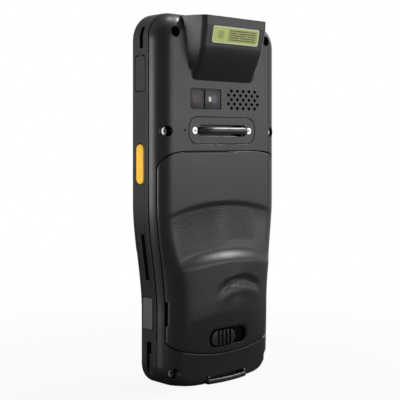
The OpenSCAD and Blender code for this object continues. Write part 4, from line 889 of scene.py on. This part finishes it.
def tube(name, points, radius, around=8, up=(0.0, 0.0, 1.0)):
    """A round bar along a row of points: a ring of the radius across the path at each one, closed at both ends."""
    points = np.array(points, float)
    heading = np.gradient(points, axis=0)
    heading /= np.linalg.norm(heading, axis=1, keepdims=True)
    side = np.cross(heading, up)
    side /= np.linalg.norm(side, axis=1, keepdims=True)
    rise = np.cross(side, heading)
    a = np.linspace(0, 2 * np.pi, around, endpoint=False)
    return loft(name, list(points[:, None, :] + radius * (np.cos(a)[None, :, None] * side[:, None, :]
                                                         + np.sin(a)[None, :, None] * rise[:, None, :])), 60.0)


rubber = grained("flap_rubber", (0.026, 0.027, 0.029), 0.58, grain=0.4, grain_mm=0.2)
grey_rubber = grained("grey_flap_rubber", (0.062, 0.063, 0.066), 0.55, grain=0.4, grain_mm=0.2)
arch_z = JACK_Z + 6.4
arch = [(FLAP_V - 1.7, arch_z - 1.6),
        *[(FLAP_V - 1.7 * math.cos(a), arch_z + 1.9 * math.sin(a)) for a in np.linspace(0, np.pi, 13)],
        (FLAP_V + 1.7, arch_z - 1.6)]
nail_tab = puck("nail_tab", (FLAP_V, JACK_Z + JACK_LEN), (1.9, 1.9), 0.95,
                rounded(HALF_HEAD - FLAP_T, HALF_HEAD, 0.0, 0.2), 6, "x")
arch_rib = tube("arch_rib", [(HALF_HEAD - 0.1, v, z) for v, z in arch], 0.22, up=(1.0, 0.0, 0.0))
jack_flap = flap("jack_flap", HALF_HEAD, FLAP_V, JACK_Z, JACK_LEN, [nail_tab, arch_rib])
usb_flap = flap("usb_flap", HALF_GRIP + USB_PROUD, USB_V, USB_Z, USB_LEN, [])
finish_with(jack_flap, rubber, "jack_cover", "rubber", "jack_cover")
finish_with(usb_flap, grey_rubber, "usb_cover", "grey_rubber", "usb_cover")

# ---------------------------------------------------------------- camera and flash windows
# Two flat polycarbonate windows side by side. Behind the outer one is the lens in its ring, and behind the other the
# white flash emitter beside a blue-tinted light sensor.

window_tints = [plain(name, colour, 0.37, bump=0.0, scale=200, gloss_level=0.29) for name, colour in (
    ("window_tint", (0.0100, 0.0080, 0.0090)), ("flash_tint", (0.0080, 0.0080, 0.0105)))]
for (name, x, width), tint in zip(WINDOWS, window_tints):
    pane = puck(name + "_pane", (x, WINDOW_Z), (width - 2 * FIT, WINDOW_H - 2 * FIT), 0.35,
                rounded(-0.9, -0.08, 0, 0.12, 2))
    finish_with(pane, tint, "terminal", "window_dark", name + "_window")
LENS_RING_R = 1.75
circle = [(LENS_X + 0.6 + LENS_RING_R * math.cos(a), -0.13, WINDOW_Z + LENS_RING_R * math.sin(a))
          for a in np.linspace(0, 2 * np.pi, 33)]
lens_ring = tube("lens_ring", circle, 0.24, up=(0.0, 1.0, 0.0))
finish_with(lens_ring, plain("ring_print", (0.19, 0.14, 0.145), 0.4), "terminal", "window_dark")
emitter = slab("flash_emitter", (LED_X + 0.7, WINDOW_Z), (1.6, 2.2), 0.3, -0.3, -0.05)
finish_with(emitter, plain("phosphor", (0.95, 0.94, 0.9), 0.4), "terminal", "flash_plastic")
sensor = slab("light_sensor", (LED_X - 2.0, WINDOW_Z), (2.8, 3.4), 0.5, -0.3, -0.06)
finish_with(sensor, plain("sensor_filter", (0.030, 0.030, 0.085), 0.35), "terminal", "window_dark")
dress(plain("light_guide", (0.8, 0.78, 0.7), 0.4), "flash_module")

# ---------------------------------------------------------------- scan window
# A dark red acrylic pane closes the scanner's opening in the end of the hump. It lies a little below the rim of its
# seat, so that the rim takes the knocks.

pane = puck("scan_pane", (0, SCAN_V), (28.0, 9.6), 1.85, rounded(HUMP_TOP - 1.45, HUMP_TOP - 0.25, 0, 0.12, 2),
            axis="z")
finish_with(pane, plain("scan_filter", (0.05, 0.004, 0.008), 0.08, coat=0.6, bump=0.0), "terminal", "scan_red",
            "scan_window")

# ---------------------------------------------------------------- label
# A printed vinyl label on the hump's sloped face: a pale border, a blank block at one end and plain ruled bars. Each
# layer is laid out flat and then tilted with the face.

label_tilt = math.atan2(HUMP_RISE - BROW_V, LABEL_TOP - HUMP_BROW)
label_middle = np.array([0.0, (BROW_V + HUMP_RISE) / 2 + 0.01, (HUMP_BROW + LABEL_TOP) / 2])


def on_label(name, middle, size, corner, low, high):
    """A thin patch on the label's sloped plane, with its middle in the label's own x and height: the flat patch turned
    about x by the tilt, then moved to the label's middle."""
    def tilt(co):
        co = co / MM - [0.0, BACK_Y, 0.0]
        y, z = co[:, 1].copy(), co[:, 2].copy()
        co[:, 1] = y * math.cos(label_tilt) + z * math.sin(label_tilt)
        co[:, 2] = z * math.cos(label_tilt) - y * math.sin(label_tilt)
        return (co + label_middle + [0.0, BACK_Y, 0.0]) * MM

    piece = slab(name, middle, size, corner, low, high, 5)
    reshape(piece.data, tilt)
    return piece


TEXT_X = -4.2
pale_print = plain("label_border", (0.74, 0.78, 0.52), 0.42, scale=300, vary=0.04)
vinyl = plain("label_vinyl", (0.58, 0.66, 0.19), 0.42, coat=0.15, scale=300, bump=0.05, vary=0.05)
dull_print = plain("label_field", (0.42, 0.46, 0.15), 0.42, scale=300)
finish_with(on_label("label", (0, 0), (29.2, 7.6), 1.0, 0.0, 0.20), pale_print, "terminal", "label_yellow",
            "label_plate")
finish_with(on_label("label_panel", (0, 0), (28.0, 6.5), 0.7, 0.1, 0.212), vinyl, "terminal", "label_yellow")
finish_with(on_label("label_text_field", (TEXT_X, 0), (18.4, 5.5), 0.3, 0.1, 0.216), dull_print, "terminal",
            "label_yellow")
bars = [on_label("label_bars", (TEXT_X + shift, row), (width, 0.42), 0.1, 0.1, 0.22)
        for row, spans in ((2.1, ((0, 16.6),)), (1.05, ((-2.9, 10.6), (5.9, 4.4))), (0.05, ((-5.6, 5.2), (3.2, 10.0))),
                           (-0.95, ((-3.4, 9.6), (5.4, 5.6))), (-1.95, ((0.0, 16.4),)))
        for shift, width in spans]
finish_with(join(bars[0], bars[1:]), plain("label_ink", (0.10, 0.11, 0.03), 0.45, scale=300), "terminal",
            "label_yellow")
finish_with(on_label("label_blank_block", (9.6, 0), (3.6, 3.6), 0.9, 0.1, 0.22), dull_print, "terminal",
            "label_yellow")

# ---------------------------------------------------------------- strap fittings
# A charcoal plate covers the feet of a bent steel bar, and two small cross-head screws hold both. The hand strap
# loops round the bar, and its other end round the loop at the foot of the case.

strap_plate = puck("strap_cover_plate", (0, PLATE_Z), (PLATE_W, PLATE_H), 5.0, rounded(-1.2, -0.05, 0, 0.25), 10)
cuts = [puck("trough", (0, PLATE_Z), (TROUGH_W, TROUGH_H), 2.4, mouth(-3, -0.05, 0.25), 10)]
cuts += [pin(name, side * STRAP_SCREW_X, PLATE_Z, width, low, 1)
         for name, width, low in (("head_seat", 3.2, -0.75), ("shank_hole", 1.9, -2)) for side in SIDES]
carve(strap_plate, cuts)
even_out(strap_plate)
finish_with(strap_plate, charcoal, "terminal", "plate_plastic", "strap_plate")

BAR_R, BAR_HALF, BAR_V, BEND_R, FOOT_END = 1.6, 13.6, 3.0, 4.2, 19.8
bar_path = [(x, BAR_V) for x in np.linspace(0, BAR_HALF - BEND_R - 0.3, 7)]
bar_path += [(BAR_HALF - BEND_R + BEND_R * math.sin(a), BAR_V - BEND_R + BEND_R * math.cos(a))
             for a in np.linspace(0, np.pi / 2, 9)]
bar_path += [(BAR_HALF, v) for v in (-1.6, -2.3, -3.0)]
bar_path = [(-x, v) for x, v in bar_path[:0:-1]] + bar_path
bar = tube("strap_rod", [(x, v, PLATE_Z) for x, v in bar_path], BAR_R, 20)
FOOT_START = BAR_HALF - 0.4
carve(bar, [slab("foot", (side * (FOOT_START + FOOT_END) / 2, PLATE_Z), (FOOT_END - FOOT_START, 4.8), 0.6, -2.4, -1.25)
            for side in SIDES], "UNION", 45.0)
carve(bar, [pin("foot_hole", side * STRAP_SCREW_X, PLATE_Z, 1.7, -4, 1) for side in SIDES], sharp_degrees=45.0)
finish_with(bar, plain("plated_steel", (0.04, 0.04, 0.044), 0.42, metal=0.5, scale=700, bump=0.15), "terminal",
            "bar_metal", "strap_bar")


def dark_recess(material, low, high, dark):
    """Darkens a finish where the place's depth y is below a height: painted shade in a screw's drive recess."""
    tree = material.node_tree
    shader = tree.nodes["Principled BSDF"]
    parts = add(tree, "SeparateXYZ", add(tree, "TexCoord").outputs["Object"])
    depth = add(tree, "MapRange", parts.outputs["Y"], low, high)
    steel = shader.inputs["Base Color"].links[0].from_socket
    feed(shader, Base_Color=add(tree, "MixRGB", depth, (*dark, 1.0), steel))
    return material


screw_steel = plain("screw_steel", (0.34, 0.34, 0.35), 0.28, metal=1.0, scale=700)
# The strap screws' drive recesses, below 4.5 to 4.7 mm in y, are darkened: painted shade.
dress(dark_recess(screw_steel, 0.0045, 0.0047, (0.012, 0.012, 0.013)), "strap_screws")
# The housing screws get a darker steel than the strap screws, standing for the shade deep in their wells: painted
# shade.
dress(plain("painted_well_shade_steel", (0.26, 0.26, 0.27), 0.3, metal=1.0, scale=700), "housing_screws")

LOOP_HALF, LOOP_END_V, LOOP_BOW_V = 12.0, 3.1, 4.4
loop_end = [(1, 0.35), (0.995, 0.12), (0.98, 0.0)]
loop_stations = [(-t, inset) for t, inset in loop_end] + [(t, 0.0) for t in np.linspace(-0.95, 0.95, 39)]
loop_stations += loop_end[::-1]
loop_bar = loft("foot_loop_bar", [
    along("x", round_loop(2.0 - 2 * inset, 2.2 - 2 * inset, 0.7 - inset, 6)
          + [mix(LOOP_BOW_V, LOOP_END_V, t * t) - 1.0, 1.1], t * LOOP_HALF) for t, inset in loop_stations])
carve(loop_bar, [puck("leg", (side * (LOOP_HALF - 0.8), 1.78), (1.6, 3.44), 0.3,
                      rounded(-0.6, LOOP_END_V - 0.2, 0, 0.4), 4) for side in SIDES], "UNION")
finish_with(loop_bar, charcoal, "terminal", "housing_plastic", "strap_loop")

# ---------------------------------------------------------------- studio
# A pale sheet for a floor, a plain white surround, and four soft lamps: two above the object, and one on either side of
# the camera, level with it, so that the long rounded edge that faces the camera stays in the shade.

floor_mesh = bpy.data.meshes.new("floor")
reach = 6.0
floor_mesh.from_pydata([(-reach, -reach, 0), (reach, -reach, 0), (reach, reach, 0), (-reach, reach, 0)], [],
                       [(0, 1, 2, 3)])
show("floor", floor_mesh)


def seen_white(tree, straight, reflected):
    """Share of plain white that a ray sees: straight from the camera, all through glass, and reflected off gloss."""
    path = add(tree, "LightPath").outputs
    share = path["Is Transmission Ray"]
    for ray, strength in (("Is Camera Ray", straight), ("Is Glossy Ray", reflected)):
        share = add(tree, "Math MAXIMUM", share, add(tree, "Math MULTIPLY", path[ray], strength))
    return share


def ramp(tree, value, low, high, at_low, at_high):
    """Turns a value that runs from low to high into one that runs from at_low to at_high."""
    change = add(tree, "MapRange", value, low, high, at_low, at_high)
    change.interpolation_type = "SMOOTHSTEP"
    return change


WHITE = (1, 1, 1, 1)
paper, tree, shader, where = nodes_of("paper_floor")
tone = add(tree, "MixRGB", add(tree, "LightPath").outputs["Is Glossy Ray"], (0.3, 0.3, 0.3, 1), (0.13, 0.13, 0.13, 1))
feed(shader, Roughness=0.9, Specular_IOR_Level=0.1, Base_Color=tone)
away = add(tree, "VectorMath LENGTH", where).outputs["Value"]
far_white = ramp(tree, away, 0.06, 0.3, 0.92, 1.0)
far_gloss = ramp(tree, away, 0.3, 1.0, 0.0, 1.0)
glow = add(tree, "Emission", WHITE)
feed(tree.nodes["Material Output"], add(tree, "MixShader", seen_white(tree, far_white, far_gloss), shader, glow))
floor_mesh.materials.append(paper)

world = bpy.data.worlds.new("studio")
bpy.context.scene.world = world
world.use_nodes = True
tree = world.node_tree
way = add(tree, "TexCoord").outputs["Generated"]
dims = [ramp(tree, add(tree, "VectorMath DOT_PRODUCT", way, side).outputs["Value"], low, high, 1.0, least)
        for side, low, high, least in (((0.68, 0.73, 0.0), 0.3, 0.8, 0.06), ((-0.27, -0.65, 0.70), 0.5, 0.95, 0.3))]
white_share = seen_white(tree, 1.0, add(tree, "Math MULTIPLY", *dims))
soft = feed(tree.nodes["Background"], WHITE, 0.18)
feed(tree.nodes["World Output"], add(tree, "MixShader", white_share, soft, add(tree, "Background", WHITE)))


def lamp(name, place, aim, size, power):
    """A soft rectangular lamp at a place in metres, facing a point."""
    light = bpy.data.lights.new(name, "AREA")
    light.shape = "RECTANGLE"
    light.size, light.size_y = size
    light.energy = power
    holder = show(name, light)
    holder.location = place
    way = mathutils.Vector(np.array(aim, float) - np.array(place, float))
    holder.rotation_euler = way.to_track_quat("-Z", "Y").to_euler()


lamp("top_soft", (-0.62, 0.08, 0.74), (0, 0, 0.1), (0.2, 0.2), 11.5)
lamp("crown_soft", (-0.23, 0.11, 1.0), (0, 0, 0.16), (0.22, 0.22), 3.2)
lamp("left_soft", (0.88, -0.19, 0.12), (0, 0, 0.05), (0.42, 0.22), 5.4)
lamp("right_soft", (-0.42, 0.72, 0.18), (0, 0, 0.09), (0.66, 0.24), 2.5)

PICTURE, FOCAL, LEVEL_ROW = 400.0, 938.8, 142.71
turn = math.radians(42.74)
camera_data = bpy.data.cameras.new("camera")
camera = show("camera", camera_data)
camera.location = (0.3011, 0.31003 + BACK_Y * MM, 0.1088)
ahead = mathutils.Vector((-math.sin(turn), -math.cos(turn), 0.0))
camera.rotation_euler = ahead.to_track_quat("-Z", "Y").to_euler()
camera_data.sensor_width = 36.0
camera_data.lens = 36.0 * FOCAL / PICTURE
camera_data.shift_x = 0.001
camera_data.shift_y = (LEVEL_ROW - PICTURE / 2) / PICTURE
camera_data.clip_start = 0.01
bpy.context.scene.camera = camera
bpy.context.scene.view_settings.view_transform = "Standard"
